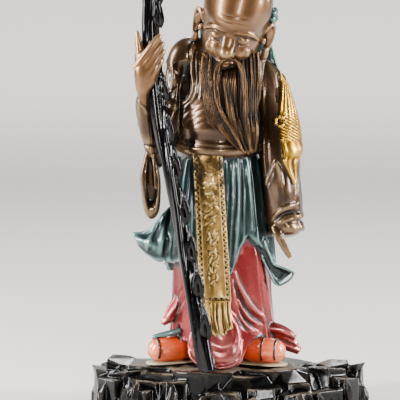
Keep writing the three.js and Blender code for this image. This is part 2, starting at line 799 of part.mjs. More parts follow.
function sashPoint(u, v) {
  const z = SASH_TOP + (SASH_FOOT - SASH_TOP) * v;
  const x = -36 + 7 * v + u * (29 + 2 * v);
  return onFront(greenRows, x, z, 4);
}

// The fringe hangs in cords side by side, longest in the middle.
function fringePoint(u, v) {
  const [x, y, z] = sashPoint(0.03 + 0.94 * u, 1);
  const foot = FRINGE_FOOT + 8 * (2 * u - 1) ** 2;
  const cord = Math.round(u * 2 * FRINGE_CORDS) % 2;
  return [x + v, y + 0.8 - 1.8 * cord - v, z + 2 + (foot - z - 2 - 3 * cord) * v];
}

function sash() {
  const back = [0, 2 * inParts(SASH_THICKNESS), 0];
  const pieces = [sheet(sashPoint, 4, 8, back), sheet(fringePoint, 2 * FRINGE_CORDS, 1, back)];
  for (const u of [0.06, 0.94]) {
    const edge = [0, 0.33, 0.66, 1].map((v) => [...sashPoint(u, v), 1.8, 1.6]);
    pieces.push(limb(edge, { sides: 5, steps: 6 }));
  }
  return pieces;
}

// Staff. Its path runs from the rock through the grip of the hand and above the head. Vines wind up it, and
// knots stand out from one side.
const staffPath = [
  [-21, -72, 0],
  [-26, -70, 24],
  [-34, -65, 71],
  [-42, -60, 110],
  [-49, -54, 150],
  [-59, -48, 198],
  [-67, -42, 238],
  [-73, -37, 281],
  [-76, -34, 308],
  [-78, -31, 336],
  [-79, -30, 366],
  [-79, -29, 400],
  [-77, -28, 428],
];
const KNOTS = [0.13, 0.205, 0.28, 0.355, 0.43, 0.505, 0.58, 0.8, 0.86, 0.92];

function staffBundle(more) {
  const core = inParts(STAFF_RADIUS * 0.86 + more);
  const vine = inParts(STAFF_RADIUS * 0.46 + more);
  const offset = inParts(STAFF_RADIUS * 0.72);
  const pieces = [limb(staffPath.map(([x, y, z]) => [x, y, z, core, core]), { sides: 9, steps: 18 })];
  const rows = [];
  const points = 22;
  for (let k = 0; k <= points; k++) {
    const share = 0.01 + (0.97 * k) / points;
    const [x, y, z] = along(staffPath, share);
    const turn = share * 1.4 * TURN;
    rows.push([x + offset * Math.cos(turn), y + offset * Math.sin(turn), z, vine, vine]);
  }
  pieces.push(limb(rows, { sides: 6, steps: points }));
  for (const share of KNOTS) {
    const reach = 7 + 3 * share;
    const [x, y, z] = along(staffPath, share);
    const knot = [
      [x + 3, y - 2, z + 15, 2.4],
      [x + reach - 1, y - 4, z + 6, 4.2],
      [x + reach + 1, y - 3, z - 5, 3.8],
      [x + reach + 3, y - 4, z - 14, 1.2],
    ];
    const thick = ([a, b, c, size]) => [a, b, c, size + inParts(more), size + inParts(more)];
    pieces.push(limb(knot.map(thick), { sides: 6, steps: 5 }));
  }
  return pieces;
}

function staff() {
  const ground = new THREE.BoxGeometry(FIGURE_HEIGHT, FIGURE_HEIGHT, FIGURE_HEIGHT);
  ground.translate(0, 0, -FIGURE_HEIGHT / 2);
  return eased(joined([...staffBundle(0), ...staffHead()]), STAFF_SLACK).subtract(solidOf(ground));
}

// The crook at the top of the staff.
const CROOK = [
  [-78, -29, 418, 5.5, 5.5],
  [-75, -29, 432, 5.5, 5.5],
  [-67, -30, 440, 5, 5],
  [-59, -31, 434, 4.2, 4.2],
  [-60, -31, 424, 3.2, 3.2],
  [-66, -31, 420, 1.6, 1.6],
];

function staffHead() {
  return [limb(CROOK, { sides: 8, steps: 9 })];
}

// Right hand. The fingers cross in front of the staff, and the thumb stands up beside it.
const PALM = [
  [-84, -33, 262, 5.4, 6],
  [-84, -38, 273, 6.2, 6],
  [-80, -43, 285, 10.5, 6.5],
  [-81, -43, 297, 11, 6],
];
const THUMB = [
  [-86, -39, 288, 4.6, 5],
  [-89.5, -37, 302, 4.4, 4.6],
  [-90, -34, 318, 4, 4],
  [-90, -33, 334, 2, 2.2],
];
const FINGERS = [
  { root: [-88, -44, 299], tip: [-67.5, -46, 334], size: 5.2 },
  { root: [-84, -46, 292], tip: [-65, -45, 324], size: 5 },
  { root: [-80, -47, 285], tip: [-64, -44, 315], size: 4.8 },
  { root: [-76, -46, 279], tip: [-64, -42, 305], size: 4.4 },
];

function fingerRows({ root, tip, size }) {
  const low = [root[0] * 1.25 - tip[0] * 0.25, root[1] + 3, root[2] * 1.25 - tip[2] * 0.25];
  const bulge = [0, 0, -3, -2, 0];
  return [-0.2, 0, 0.35, 0.75, 1].map((share, k) => {
    const point = share < 0 ? low : root.map((value, n) => value + (tip[n] - value) * share);
    const width = size * (k === 4 ? 0.6 : 1 - 0.08 * k);
    return [point[0], point[1] + bulge[k], point[2], width, width];
  });
}

function hand() {
  const pieces = [limb(PALM, { sides: 10, steps: 5 }), limb(THUMB, { sides: 7, steps: 5 })];
  for (const finger of FINGERS) pieces.push(limb(fingerRows(finger), { sides: 7, steps: 5 }));
  return pieces;
}

function figure() {
  const upper = [...head(), ...headcloth(), ...beard(), ...jacketBody(), ...hand()];
  const sleeves = [...staffSleeve(), ...loweredSleeve(), ...crane()];
  const lower = [...greenRobe(), ...redSkirt(), ...shoes(), ...sash()];
  const pieces = [...upper, ...sleeves, ...lower];
  return eased(joined(pieces), FIGURE_SLACK).subtract(Manifold.union(staffBundle(GRIP_CLEARANCE)));
}

// Rock base. Angular crags stand round a slab, and the top is cut flat where the figure stands.
function seeded(seed) {
  let state = seed;
  return () => {
    state = (state * 1664525 + 1013904223) % 4294967296;
    return state / 4294967296;
  };
}

// One angular block with a slanted top.
function crag(chance, x, y, wide, deep, top) {
  const sides = 5 + Math.floor(chance() * 2);
  const block = new THREE.CylinderGeometry(0.62 + 0.2 * chance(), 1, 1, sides, 1);
  const position = block.attributes.position;
  const lean = [(chance() - 0.5) * 1.1, (chance() - 0.5) * 1.1];
  for (let i = 0; i < position.count; i++) {
    const high = position.getY(i) > 0;
    const [px, pz] = [position.getX(i), position.getZ(i)];
    position.setY(i, high ? 1 - 0.16 * (px * lean[0] + pz * lean[1] + 1) : 0);
  }
  block.rotateX(Math.PI / 2).rotateZ(chance() * TURN).scale(wide, deep, top).translate(x, y, 0);
  return solidOf(block);
}

// A ring of crags: how many, how far out, how high as a share of the base, and how wide in millimetres.
const CRAG_RINGS = [
  { count: 18, out: 0.9, low: 0.38, high: 0.74, wide: 27 },
  { count: 15, out: 0.76, low: 0.72, high: 0.96, wide: 28 },
];
const CORE_SHARE = 0.9;

// The flat slabs on top that carry the figure, level with each other, in its parts, as
// [x, y, half length, half depth, turn].
const SLABS = [
  [-52, -8, 62, 44, 0.2],
  [24, -4, 66, 48, 0.5],
  [-24, -52, 40, 30, 0.9],
  [40, -38, 44, 30, 0.1],
  [-10, 34, 58, 34, 0.35],
];

function slabOf([x, y, long, deep, turn], sides) {
  const block = new THREE.CylinderGeometry(0.94, 1, BASE_HEIGHT, sides, 1);
  block.rotateX(Math.PI / 2).rotateZ(turn).scale(long * part, deep * part, 1);
  block.translate(x * part, y * part, BASE_HEIGHT / 2);
  return solidOf(block);
}

function rockBase() {
  const chance = seeded(11);
  const [halfLength, halfDepth] = [BASE_LENGTH / 2, BASE_DEPTH / 2];
  const coreHeight = BASE_HEIGHT * CORE_SHARE;
  const core = new THREE.CylinderGeometry(0.76, 0.95, coreHeight, 12, 1);
  core.rotateX(Math.PI / 2).scale(halfLength, halfDepth, 1).translate(0, 0, coreHeight / 2);
  const pieces = [solidOf(core), ...SLABS.map((slab, k) => slabOf(slab, 5 + (k % 3)))];
  for (const ring of CRAG_RINGS) {
    for (let k = 0; k < ring.count; k++) {
      const angle = (TURN * (k + 0.4 * (chance() - 0.5))) / ring.count;
      const ends = Math.abs(Math.cos(angle)) ** 5;
      const share = ring.low + (ring.high - ring.low) * chance();
      const top = BASE_HEIGHT * (share + (1 - share) * ends) + ends * CRAG_RISE * 2 * chance();
      const wide = ring.wide * (0.85 + 0.35 * chance());
      const [x, y] = [halfLength * ring.out * Math.cos(angle), halfDepth * ring.out * Math.sin(angle)];
      const deep = wide * (0.8 + 0.25 * chance());
      pieces.push(crag(chance, x, y, wide, deep, Math.min(top, BASE_HEIGHT + CRAG_RISE)));
    }
  }
  const rimHeight = BASE_HEIGHT + CRAG_RISE;
  const rim = new THREE.CylinderGeometry(1, 1, rimHeight, 20, 1);
  rim.rotateX(Math.PI / 2).rotateZ(Math.PI / 2).scale(halfLength, halfDepth, 1);
  rim.translate(0, 0, rimHeight / 2);
  return eased(joined(pieces).intersect(solidOf(rim)), ROCK_SLACK);
}

const darkLacquer = new THREE.MeshStandardMaterial({ color: 0x14110f, roughness: 0.28, metalness: 0.1 });
const bronzeLacquer = new THREE.MeshStandardMaterial({ color: 0x7a5a3c, roughness: 0.3, metalness: 0.35 });
const staffLacquer = new THREE.MeshStandardMaterial({ color: 0x1c1715, roughness: 0.25, metalness: 0.1 });

const base = meshOf("rock_base", rockBase(), darkLacquer);
const standing = new THREE.Group();
standing.position.z = BASE_HEIGHT + SEAT_GAP;
standing.add(meshOf("figure", figure(), bronzeLacquer));
standing.add(meshOf("staff", staff(), staffLacquer));

const whole = new THREE.Group();
whole.add(base, standing);

export default whole;
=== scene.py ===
"""A lacquered figure of an old sage with a high bald head and a long beard, on a rockwork base.

The carving is laid out in millimetres from the figure's soles, as the solids are. Each colour of lacquer is
one block of carving. The blocks are joined into one piece. The staff and the rock are pieces of their own.
"""

import math

import bpy
import numpy as np
from mathutils import Matrix, Vector
from mathutils.bvhtree import BVHTree


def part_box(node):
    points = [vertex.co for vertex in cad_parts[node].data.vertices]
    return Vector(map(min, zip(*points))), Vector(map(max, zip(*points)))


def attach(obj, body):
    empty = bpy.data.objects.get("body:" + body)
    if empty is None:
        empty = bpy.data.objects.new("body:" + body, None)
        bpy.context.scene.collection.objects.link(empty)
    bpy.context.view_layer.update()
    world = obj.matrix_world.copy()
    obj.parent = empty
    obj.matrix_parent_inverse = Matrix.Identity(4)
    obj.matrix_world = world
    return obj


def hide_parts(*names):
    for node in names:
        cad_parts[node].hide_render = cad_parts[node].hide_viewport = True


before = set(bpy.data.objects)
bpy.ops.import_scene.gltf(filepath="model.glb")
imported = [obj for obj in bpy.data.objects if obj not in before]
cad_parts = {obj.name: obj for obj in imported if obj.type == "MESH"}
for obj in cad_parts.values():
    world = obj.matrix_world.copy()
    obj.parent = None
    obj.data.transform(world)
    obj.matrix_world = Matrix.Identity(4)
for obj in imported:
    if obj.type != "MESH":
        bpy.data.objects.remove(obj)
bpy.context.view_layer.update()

MM = 0.001
TURN = 2 * math.pi
FRONT = -TURN / 4
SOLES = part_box("figure")[0][2]
COARSE = 1.0
UPWARD = (0, 0, 1)


# Curves and forms, in millimetres
def along(rows, share):
    """The numbers at shares of the way through the rows, on a Catmull-Rom curve."""
    rows = np.asarray(rows, float)
    last = len(rows) - 1
    at = np.clip(np.asarray(share, float), 0, 1) * last
    i = np.minimum(at.astype(int), last - 1)
    f = (at - i)[..., None]
    a, b, c, d = (rows[np.clip(i + k, 0, last)] for k in (-1, 0, 1, 2))
    return b + 0.5 * f * (c - a + f * (2 * a - 5 * b + 4 * c - d + f * (3 * b - a - 3 * c + d)))


def at_height(rows, z):
    """The rows read at heights: the first number of each is its height, from high to low."""
    rows = np.asarray(rows, float)
    last = len(rows) - 1
    z = np.asarray(z, float)
    above = (rows[:, 0] > z[..., None]).sum(axis=-1)
    i = np.clip(above - 1, 0, last - 1)
    share = (rows[i, 0] - z) / (rows[i, 0] - rows[i + 1, 0])
    return along(rows, (i + np.clip(share, 0, 1)) / last)


def skin(rings, first, last):
    """A closed skin over rings of points, with a point at each end."""
    count, sides = rings.shape[:2]
    points = np.vstack(([first], rings.reshape(-1, 3), [last]))
    k = np.arange(sides)
    following = (k + 1) % sides
    r = 1 + sides * np.arange(count - 1)[:, None]
    a, b, c, d = r + k, r + following, r + sides + following, r + sides + k
    side = np.concatenate((np.stack((a, b, c), -1), np.stack((a, c, d), -1))).reshape(-1, 3)
    start = np.stack((np.zeros(sides, int), 1 + following, 1 + k), -1)
    end = 1 + (count - 1) * sides
    finish = np.stack((np.full(sides, end + sides), end + k, end + following), -1)
    return points, np.vstack((side, start, finish))


def placed(points, place):
    matrix = np.array(place)
    return points @ matrix[:3, :3].T + matrix[:3, 3]


def around(rows, angle, z, proud):
    """Points round an upright form, at angles and heights, that stand proud of it."""
    read = at_height(rows, z)
    x = read[..., 1] + (read[..., 3] + proud) * np.cos(angle)
    y = read[..., 2] + (read[..., 4] + proud) * np.sin(angle)
    return np.stack((x, y, z + 0 * x), -1)


def stack(rows, sides, levels, relief=None, hem=None):
    """An upright form: rows of [height, middle x, middle y, half width, half depth], from the top."""
    angle = TURN * np.arange(sides) / sides
    (top, *first), (foot, *last) = (row[:3] for row in (rows[0], rows[-1]))
    end = hem(angle) if hem else np.full(sides, float(foot))
    z = top + (end - top) * np.linspace(0, 1, levels + 1)[:, None]
    rings = around(rows, angle, z, relief(angle, z) if relief else 0)[::-1]
    return skin(rings, [*last, foot], [*first, top])


def limb(rows, sides, steps, relief=None, front=(0, -1, 0)):
    """A form along a path: rows of [x, y, z, half width, half depth], with the depth towards the front."""
    rows = np.asarray(rows, float)
    share = np.linspace(0, 1, steps + 1)
    read = along(rows, share)
    path = along(rows, share + 0.01)[:, :3] - along(rows, share - 0.01)[:, :3]
    across = np.cross(path, front)
    across /= np.linalg.norm(across, axis=1)[:, None]
    out = np.cross(across, path)
    out /= np.linalg.norm(out, axis=1)[:, None]
    angle = TURN * np.arange(sides) / sides
    more = relief(angle, share[:, None]) if relief else 0
    wide = (read[:, 3:4] + more) * np.cos(angle)
    deep = (read[:, 4:5] + more) * np.sin(angle)
    rings = read[:, None, :3] + across[:, None] * wide[..., None] + out[:, None] * deep[..., None]
    return skin(rings[::-1], rows[-1, :3], rows[0, :3])


def ball(middle, radii, sides=32):
    """An egg with its middle and three radii."""
    angle = TURN * np.arange(sides) / sides
    tilt = np.linspace(-TURN / 4, TURN / 4, sides // 2 + 1)[1:-1, None]
    level = np.cos(tilt)
    ring = np.stack((level * np.cos(angle), level * np.sin(angle), np.sin(tilt) + 0 * angle), -1)
    middle = np.asarray(middle)
    end = (0, 0, radii[2])
    return skin(middle + ring * np.asarray(radii), middle - end, middle + end)


def sheet(point, columns, rows, back):
    """A sheet of even thickness: point(u, v) gives its front face, and back is the step to its back face."""
    u, v = np.meshgrid(np.linspace(0, 1, columns + 1), np.linspace(0, 1, rows + 1))
    face = point(u, v).reshape(-1, 3)
    points = np.vstack((face, face + back))
    width = columns + 1
    a = (np.arange(rows)[:, None] * width + np.arange(columns)).ravel()
    b, c, d = a + 1, a + width + 1, a + width
    far = len(face)
    flat = np.vstack((np.stack((a, d, c), -1), np.stack((a, c, b), -1)))
    rim = np.concatenate((
        np.arange(columns),
        np.arange(rows) * width + columns,
        rows * width + np.arange(columns, 0, -1),
        np.arange(rows, 0, -1) * width,
    ))
    following = np.roll(rim, -1)
    edge = np.stack((rim, following, far + following), -1), np.stack((rim, far + following, far + rim), -1)
    return points, np.vstack((flat, far + flat[:, ::-1], *edge))


def mirrored(rows, side):
    return [(side * row[0], *row[1:]) for row in rows]


def thick(rows, size):
    return [(*row, size, size) for row in rows]


def apart(a, b):
    """How far angles are from each other, from 0 to half a turn."""
    gap = np.abs(a - b) % TURN
    return np.minimum(gap, TURN - gap)


def bump(value, middle, width):
    return np.exp(-(((value - middle) / width) ** 2))


def strands(count, height, twist=0.0):
    """Grooves that run along a form, a little twisted."""
    def relief(angle, share):
        return height * (np.abs(np.sin((count * angle + twist * share) / 2)) - 0.5)
    return relief


def pleats(count, height, top, foot, drift):
    """Ridges that run down a garment at uneven angles, deeper towards the hem."""
    middles = [TURN * (k + 0.28 * math.sin(2.4 * k)) / count for k in range(count)]
    wide = 0.46 * TURN / count

    def relief(angle, z):
        down = np.clip((top - z) / (top - foot), 0, 1)
        most = np.zeros(np.broadcast(angle, z).shape)
        for middle in middles:
            most = np.maximum(most, 1 - apart(angle, middle + drift * down) / wide)
        return height * (0.25 + 0.75 * down) * (most * most - 0.4)
    return relief


def calm_front(relief):
    """The same relief, low in front, where folds of their own are laid."""
    def eased(angle, z):
        return relief(angle, z) * (1 - 0.75 * bump(apart(angle, FRONT), 0, 1.0))
    return eased


# A fold is laid on the carving as seen from one side: the axis across, the axis looked along, its direction.
SEEN_FROM = {"front": (0, 1, 1), "back": (0, 1, -1), "left": (1, 0, 1), "right": (1, 0, -1)}
FOLD_STEPS = 48
FOLD_SOFTENING = 2
FAR = 300


def seen_from(side, folds):
    return [(side, *fold) for fold in folds]


def laid(skin_tree, side, places):
    """The line of a fold on the carving, through places of [across, height] seen from one side."""
    across_axis, deep_axis, way = SEEN_FROM[side]
    line = []
    for across, z in along(places, np.linspace(0, 1, FOLD_STEPS)):
        start, heading = Vector((0, 0, z)), Vector((0, 0, 0))
        start[across_axis], start[deep_axis], heading[deep_axis] = across, -FAR * way, way
        hit = skin_tree.ray_cast(start, heading)[0]
        if hit is not None:
            line.append(hit)
    return np.array(line)


def folded(points, faces, folds):
    """Folds raised along lines: soft on one side, undercut on the other, and fading at both ends."""
    skin_tree = BVHTree.FromPolygons(points.tolist(), faces.tolist())
    normal = normals_of(points, faces)
    raised = np.zeros(len(points))
    for side, places, wide, high, lean in folds:
        line = laid(skin_tree, side, places)
        if len(line) < 3:
            continue
        heading = np.gradient(line, axis=0)
        heading /= np.maximum(np.linalg.norm(heading, axis=1), 1e-9)[:, None]
        reach = 3 * wide
        inside = (points > line.min(axis=0) - reach) & (points < line.max(axis=0) + reach)
        near = np.flatnonzero(inside.all(axis=1))
        gap = points[near, None] - line
        nearest = (gap * gap).sum(axis=2).argmin(axis=1)
        off = gap[np.arange(len(near)), nearest]
        at_end = (nearest == 0) | (nearest == len(line) - 1)
        past_end = at_end * (off * heading[nearest]).sum(axis=1) / wide
        way = 1 if lean >= 0 else -1
        beside = (np.cross(heading[nearest], off) * normal[near]).sum(axis=1) / wide * way
        below = (off * normal[near]).sum(axis=1) / wide
        steep = abs(lean)
        width = np.where(beside < 0, 1 + 0.7 * steep, 1 - 0.4 * steep)
        ridge = np.exp(-((beside / width) ** 2)) - 0.5 * steep * bump(beside, 1.35, 0.6)
        taper = np.sin(math.pi * (nearest + 0.5) / len(line)) ** 0.6
        raised[near] += high * ridge * taper * np.exp(-(past_end**2) / 1.5) * np.exp(-((below / 2.5) ** 4))
    return points + normal * raised[:, None]


# Meshes
def triangles_of(mesh):
    mesh.calc_loop_triangles()
    points = np.empty(len(mesh.vertices) * 3)
    mesh.vertices.foreach_get("co", points)
    faces = np.empty(len(mesh.loop_triangles) * 3, int)
    mesh.loop_triangles.foreach_get("vertices", faces)
    return points.reshape(-1, 3), faces.reshape(-1, 3)


def mesh_of(name, points, faces):
    mesh = bpy.data.meshes.new(name)
    mesh.vertices.add(len(points))
    mesh.vertices.foreach_set("co", np.ascontiguousarray(points, np.float32).ravel())
    mesh.loops.add(faces.size)
    mesh.loops.foreach_set("vertex_index", np.ascontiguousarray(faces, np.int32).ravel())
    mesh.polygons.add(len(faces))
    mesh.polygons.foreach_set("loop_start", np.arange(0, faces.size, 3, dtype=np.int32))
    mesh.update(calc_edges=True)
    mesh.validate()
    return mesh


def object_of(name, points, faces):
    made = bpy.data.objects.new(name, mesh_of(name, points, faces))
    bpy.context.scene.collection.objects.link(made)
    return made


def evaluated(made):
    """The triangles of an object with its modifiers, and the object is removed."""
    seen = made.evaluated_get(bpy.context.evaluated_depsgraph_get())
    result = triangles_of(seen.to_mesh())
    seen.to_mesh_clear()
    removed(made)
    return result


def removed(made):
    mesh = made.data
    bpy.data.objects.remove(made)
    bpy.data.meshes.remove(mesh)


def gathered(forms):
    """Several forms as one list of points and one of faces."""
    start = np.cumsum([0] + [len(points) for points, _ in forms[:-1]])
    points = np.vstack([points for points, _ in forms])
    faces = np.vstack([faces + first for (_, faces), first in zip(forms, start)])
    return points, faces


def melted(forms, voxel):
    """One closed skin round overlapping forms."""
    rough = object_of("rough", *gathered(forms))
    shell = rough.modifiers.new("shell", "REMESH")
    shell.mode = "VOXEL"
    shell.voxel_size = voxel * COARSE
    return evaluated(rough)


def thinned(points, faces, budget):
    """The same skin with fewer faces where it is smooth."""
    if len(faces) <= budget:
        return points, faces
    rough = object_of("rough", points, faces)
    fewer = rough.modifiers.new("fewer", "DECIMATE")
    fewer.ratio = budget / len(faces)
    return evaluated(rough)


def edges_of(faces):
    """Where the edges of the faces start and end."""
    return faces.T.ravel(), np.roll(faces, -1, axis=1).T.ravel()


def neighbour_mean(points, faces):
    """For each point, the mean of those that share an edge with it."""
    start, end = edges_of(faces)
    count = len(points)
    met = np.maximum(np.bincount(start, minlength=count), 1)
    sums = [np.bincount(start, weights=points[end, k], minlength=count) for k in range(points.shape[1])]
    return np.stack(sums, -1) / met[:, None]


def softened(points, faces, rounds):
    for _ in range(rounds):
        points = points + 0.5 * (neighbour_mean(points, faces) - points)
    return points


def normals_of(points, faces):
    a, b, c = (points[faces[:, k]] for k in range(3))
    normal = np.cross(b - a, c - a)
    total = np.zeros_like(points)
    for k in range(3):
        for axis in range(3):
            total[:, axis] += np.bincount(faces[:, k], weights=normal[:, axis], minlength=len(points))
    return total / np.maximum(np.linalg.norm(total, axis=1), 1e-9)[:, None]


def carved(forms, voxel, budget, rounds, folds=(), relief=None):
    """A block of carving: forms melted into one skin, softened, folded, cut with a relief and thinned."""
    points, faces = melted(forms, voxel)
    points = softened(points, faces, rounds)
    if folds:
        points = softened(folded(points, faces, folds), faces, FOLD_SOFTENING)
    if relief:
        points = points + normals_of(points, faces) * relief(points)[:, None]
    return thinned(points, faces, int(budget / COARSE**1.5))


def lacquered(mesh, materials, slots):
    for material in materials:
        mesh.materials.append(material)
    mesh.polygons.foreach_set("material_index", slots.astype(np.int32))


def united(blocks, materials):
    """One piece from overlapping blocks, each with its own material."""
    used = list(dict.fromkeys(materials))
    others = bpy.data.collections.new("others")
    made = []
    for (points, faces), material in zip(blocks, materials):
        block = object_of("block", points, faces)
        lacquered(block.data, used, np.full(len(faces), used.index(material)))
        made.append(block)
    for block in made[1:]:
        others.objects.link(block)
    join = made[0].modifiers.new("join", "BOOLEAN")
    join.operation = "UNION"
    join.operand_type = "COLLECTION"
    join.collection = others
    join.solver = "EXACT"
    seen = made[0].evaluated_get(bpy.context.evaluated_depsgraph_get())
    result = bpy.data.meshes.new_from_object(seen)
    for block in made:
        removed(block)
    bpy.data.collections.remove(others)
    return result


FINEST_EDGE = 0.7
FINE_REACH, BROAD_REACH = 1.6, 4.5


def hollows_and_ridges(points, faces, reach):
    """How far each point stands proud of the surface smoothed over a reach round it, all in millimetres."""
    start, end = edges_of(faces)
    edge = np.linalg.norm(points[start] - points[end], axis=1)
    count = len(points)
    met = np.maximum(np.bincount(start, minlength=count), 1)
    mean_edge = np.bincount(start, weights=edge, minlength=count) / met
    rate = 0.8 * np.clip((FINEST_EDGE / np.maximum(mean_edge, 0.01)) ** 2, 0, 1)[:, None]
    smooth = points
    for _ in range(round(reach**2 / (0.4 * FINEST_EDGE**2))):
        smooth = smooth + rate * (neighbour_mean(smooth, faces) - smooth)
    return ((points - smooth) * normals_of(smooth, faces)).sum(axis=1)


def finished_piece(name, mesh, node):
    """Puts a block of carving in its place as a piece, with its hollows and ridges kept as attributes."""
    points, faces = triangles_of(mesh)
    masks = {
        "fine_carving": hollows_and_ridges(points, faces, FINE_REACH),
        "broad_carving": hollows_and_ridges(points, faces, BROAD_REACH),
        "across_beard": across_beard(points),
    }
    for label, value in masks.items():
        attribute = mesh.attributes.new(label, "FLOAT", "POINT")
        attribute.data.foreach_set("value", value.astype(np.float32))
    mesh.vertices.foreach_set("co", (points * MM + (0, 0, SOLES)).astype(np.float32).ravel())
    mesh.shade_smooth()
    mesh.update()
    piece = bpy.data.objects.new(name, mesh)
    mesh.name = name
    bpy.context.scene.collection.objects.link(piece)
    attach(piece, "root")
    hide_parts(node)


# Head. Its own frame is upright and looks to -Y, and is then turned as the head is carried.
HEAD_AT = (4, -20, 336)
HEAD_PITCH, HEAD_ROLL, HEAD_YAW = math.radians(20), math.radians(11), math.radians(-5)
HEAD_PLACE = (
    Matrix.Translation(HEAD_AT)
    @ Matrix.Rotation(HEAD_ROLL, 4, "Y")
    @ Matrix.Rotation(HEAD_PITCH, 4, "X")
    @ Matrix.Rotation(HEAD_YAW, 4, "Z")
)
SKULL = [
    (67, 0, 4, 5, 5), (63, 0, 4, 16, 17), (52, 0, 5.5, 27, 26.5), (35, 0, 5, 33, 32.5), (18, 0, 4, 34, 35),
    (4, 0, 3, 31.5, 32), (-9, 0, 1, 29, 30), (-22, 0, -2, 26.5, 27), (-34, 0, -6, 20, 22),
    (-42, 0, -9, 10, 12),
]
NOSE = [
    (0, -25.4, 8, 5.6, 2.4), (0, -28.2, -1, 6.8, 3.0), (0, -31.2, -9, 7.2, 4.2), (0, -34.8, -14.8, 6.8, 4.8),
    (0, -33, -18.2, 4.2, 2.6),
]
LIDS = [((12, -22.4, -1.2), (8.2, 5.8, 5.2)), ((12, -21.4, -7.2), (7.4, 5.2, 3.4))]
NOSTRIL_AND_CHEEK = [((5.4, -31.8, -15.6), (3.2, 3.6, 3)), ((14, -20.5, -14.5), (9, 7, 8.5))]
CHIN = ((0, -27, -37), (8.5, 6.5, 6.5))
LASHES = [(4.8, -25.4, -5), (8.5, -27.7, -5.8), (12.5, -28, -6.1), (17, -25.9, -5.7), (20.4, -22.4, -4.7)]
BROW = [
    (27, -14, -1, 1.6, 1.8), (20, -23.2, 6.5, 3.0, 2.9), (10, -28.2, 8.2, 3.2, 3.0),
    (3.4, -29.2, 6.5, 2.0, 1.8),
]
UPPER_LIP = [
    (-9, -28, -26, 0.8, 0.8), (-4, -31.5, -24.2, 1.6, 1.5), (0, -32, -25, 1.6, 1.4),
    (4, -31.5, -24.2, 1.6, 1.5), (9, -28, -26, 0.8, 0.8),
]
LOWER_LIP = [(-8, -28, -26.6, 0.8, 0.8), (0, -31.2, -28.6, 2.2, 2.4), (8, -28, -26.6, 0.8, 0.8)]
EAR_RIM = [
    (30, -3, 1, 1.6, 1.6), (33, -4, 8, 2.0, 2.0), (36.5, 0, 12, 2.2, 2.2), (39, 4, 8, 2.2, 2.2),
    (39.5, 6, -1, 2.1, 2.1), (38.5, 4, -10, 2.2, 2.2), (36.5, 2, -17, 2.4, 2.4),
]
EAR_FORMS = [
    ((35, 5, 1), (4.6, 5, 10)), ((36, 5, -9), (3.8, 3.6, 8)), ((35.5, 1, -20), (3.8, 4, 7.5)),
    ((32, -3, -6), (2.4, 2.4, 4)),
]


def swelling(angle, z):
    """The round of the forehead and the cheeks, and the hollows of the eyes and temples."""
    side = apart(angle, FRONT)
    forehead = 4 * bump(side, 0, 0.7) * bump(z, 18, 16)
    cheeks = 4 * bump(side, 0.5, 0.3) * bump(z, -14, 9)
    sockets = 2.4 * bump(side, 0.42, 0.22) * bump(z, -1, 7)
    temples = 1.2 * bump(side, 1.05, 0.3) * bump(z, 6, 12)
    return forehead + cheeks - sockets - temples


def on_head(forms):
    """Forms of the head's own frame, turned as the head is carried."""
    return [(placed(points, HEAD_PLACE), faces) for points, faces in forms]


def sided(eggs, side):
    return [ball((side * x, y, z), radii) for (x, y, z), radii in eggs]


def head_forms():
    forms = [
        stack(SKULL, 128, 120, swelling),
        limb(NOSE, 28, 30),
        ball(*CHIN),
        limb(UPPER_LIP, 14, 30, front=UPWARD),
        limb(LOWER_LIP, 14, 24, front=UPWARD),
    ]
    for side in (-1, 1):
        forms += [
            *sided(LIDS, side),
            limb(thick(mirrored(LASHES, side), 0.7), 12, 30, front=UPWARD),
            limb(mirrored(BROW, side), 18, 40, strands(7, 0.8, 9), front=UPWARD),
            *sided(NOSTRIL_AND_CHEEK, side),
            limb(mirrored(EAR_RIM, side), 14, 50),
            *sided(EAR_FORMS, side),
        ]
    return on_head(forms)


def head_relief(points):
    """Two soft lines over the forehead, in the head's own frame."""
    own = placed(points, HEAD_PLACE.inverted())
    x, y, z = own.T
    in_front = (y < -15) & (np.abs(x) < 24)
    depth = np.zeros(len(points))
    for line, wide in ((19, 20), (25, 16)):
        height = line - 0.006 * x * x + 0.5 * np.sin(x / 4)
        depth += bump(z, height, 0.9) * np.clip(1 - (x / wide) ** 2, 0, 1)
    return -0.55 * depth * in_front


# Headcloth: a cap behind the ears, a knot at the figure's left, a tail down the back and an edge of veil.
CAP = [
    (24, 0, 14, 18, 17), (16, 0, 12, 30, 27), (-2, 0, 11, 33, 29), (-20, 0, 9, 31, 27), (-32, 0, 8, 24, 22),
]
KNOT = (36, 12, 15)
KNOT_PETALS = 6
PETAL_REACH = 6.4
BACK_TAIL = [
    (6, 12, 330, 12, 5), (5, 22, 312, 14, 4), (3, 29, 292, 15, 3.5), (2, 35, 268, 14, 3), (3, 37, 246, 10, 2),
]
VEIL_EDGE = [(40, 2, 330), (42, 1, 316), (46, 1, 300), (51, 3, 286)]


def veil_point(u, v):
    outer = 39 + 12 * v
    inner = 24 + 4 * v
    x = inner + (outer - inner) * u
    y = 4 - 4 * np.sin(math.pi * u) + 3 * v
    return np.stack((x, y, 334 - 50 * v + 0 * u), -1)


def headcloth_forms():
    x, y, z = KNOT
    petals = []
    for k in range(KNOT_PETALS):
        turn = TURN * k / KNOT_PETALS
        middle = (x - 0.5, y + PETAL_REACH * math.cos(turn), z + PETAL_REACH * math.sin(turn))
        petals.append(ball(middle, (4, 4.4, 4.4), 24))
    cap = stack(CAP, 160, 40, lambda angle, z: 1.1 * (np.abs(np.sin(13 * angle)) - 0.5))
    return [
        *on_head([cap, ball(KNOT, (5.5, 5, 5))]),
        limb(BACK_TAIL, 48, 40, strands(10, 1.1), front=(0, 1, 0)),
        sheet(veil_point, 12, 24, (0, 4, 0)),
        limb(thick(VEIL_EDGE, 1.4), 10, 30),
        *on_head(petals),
    ]


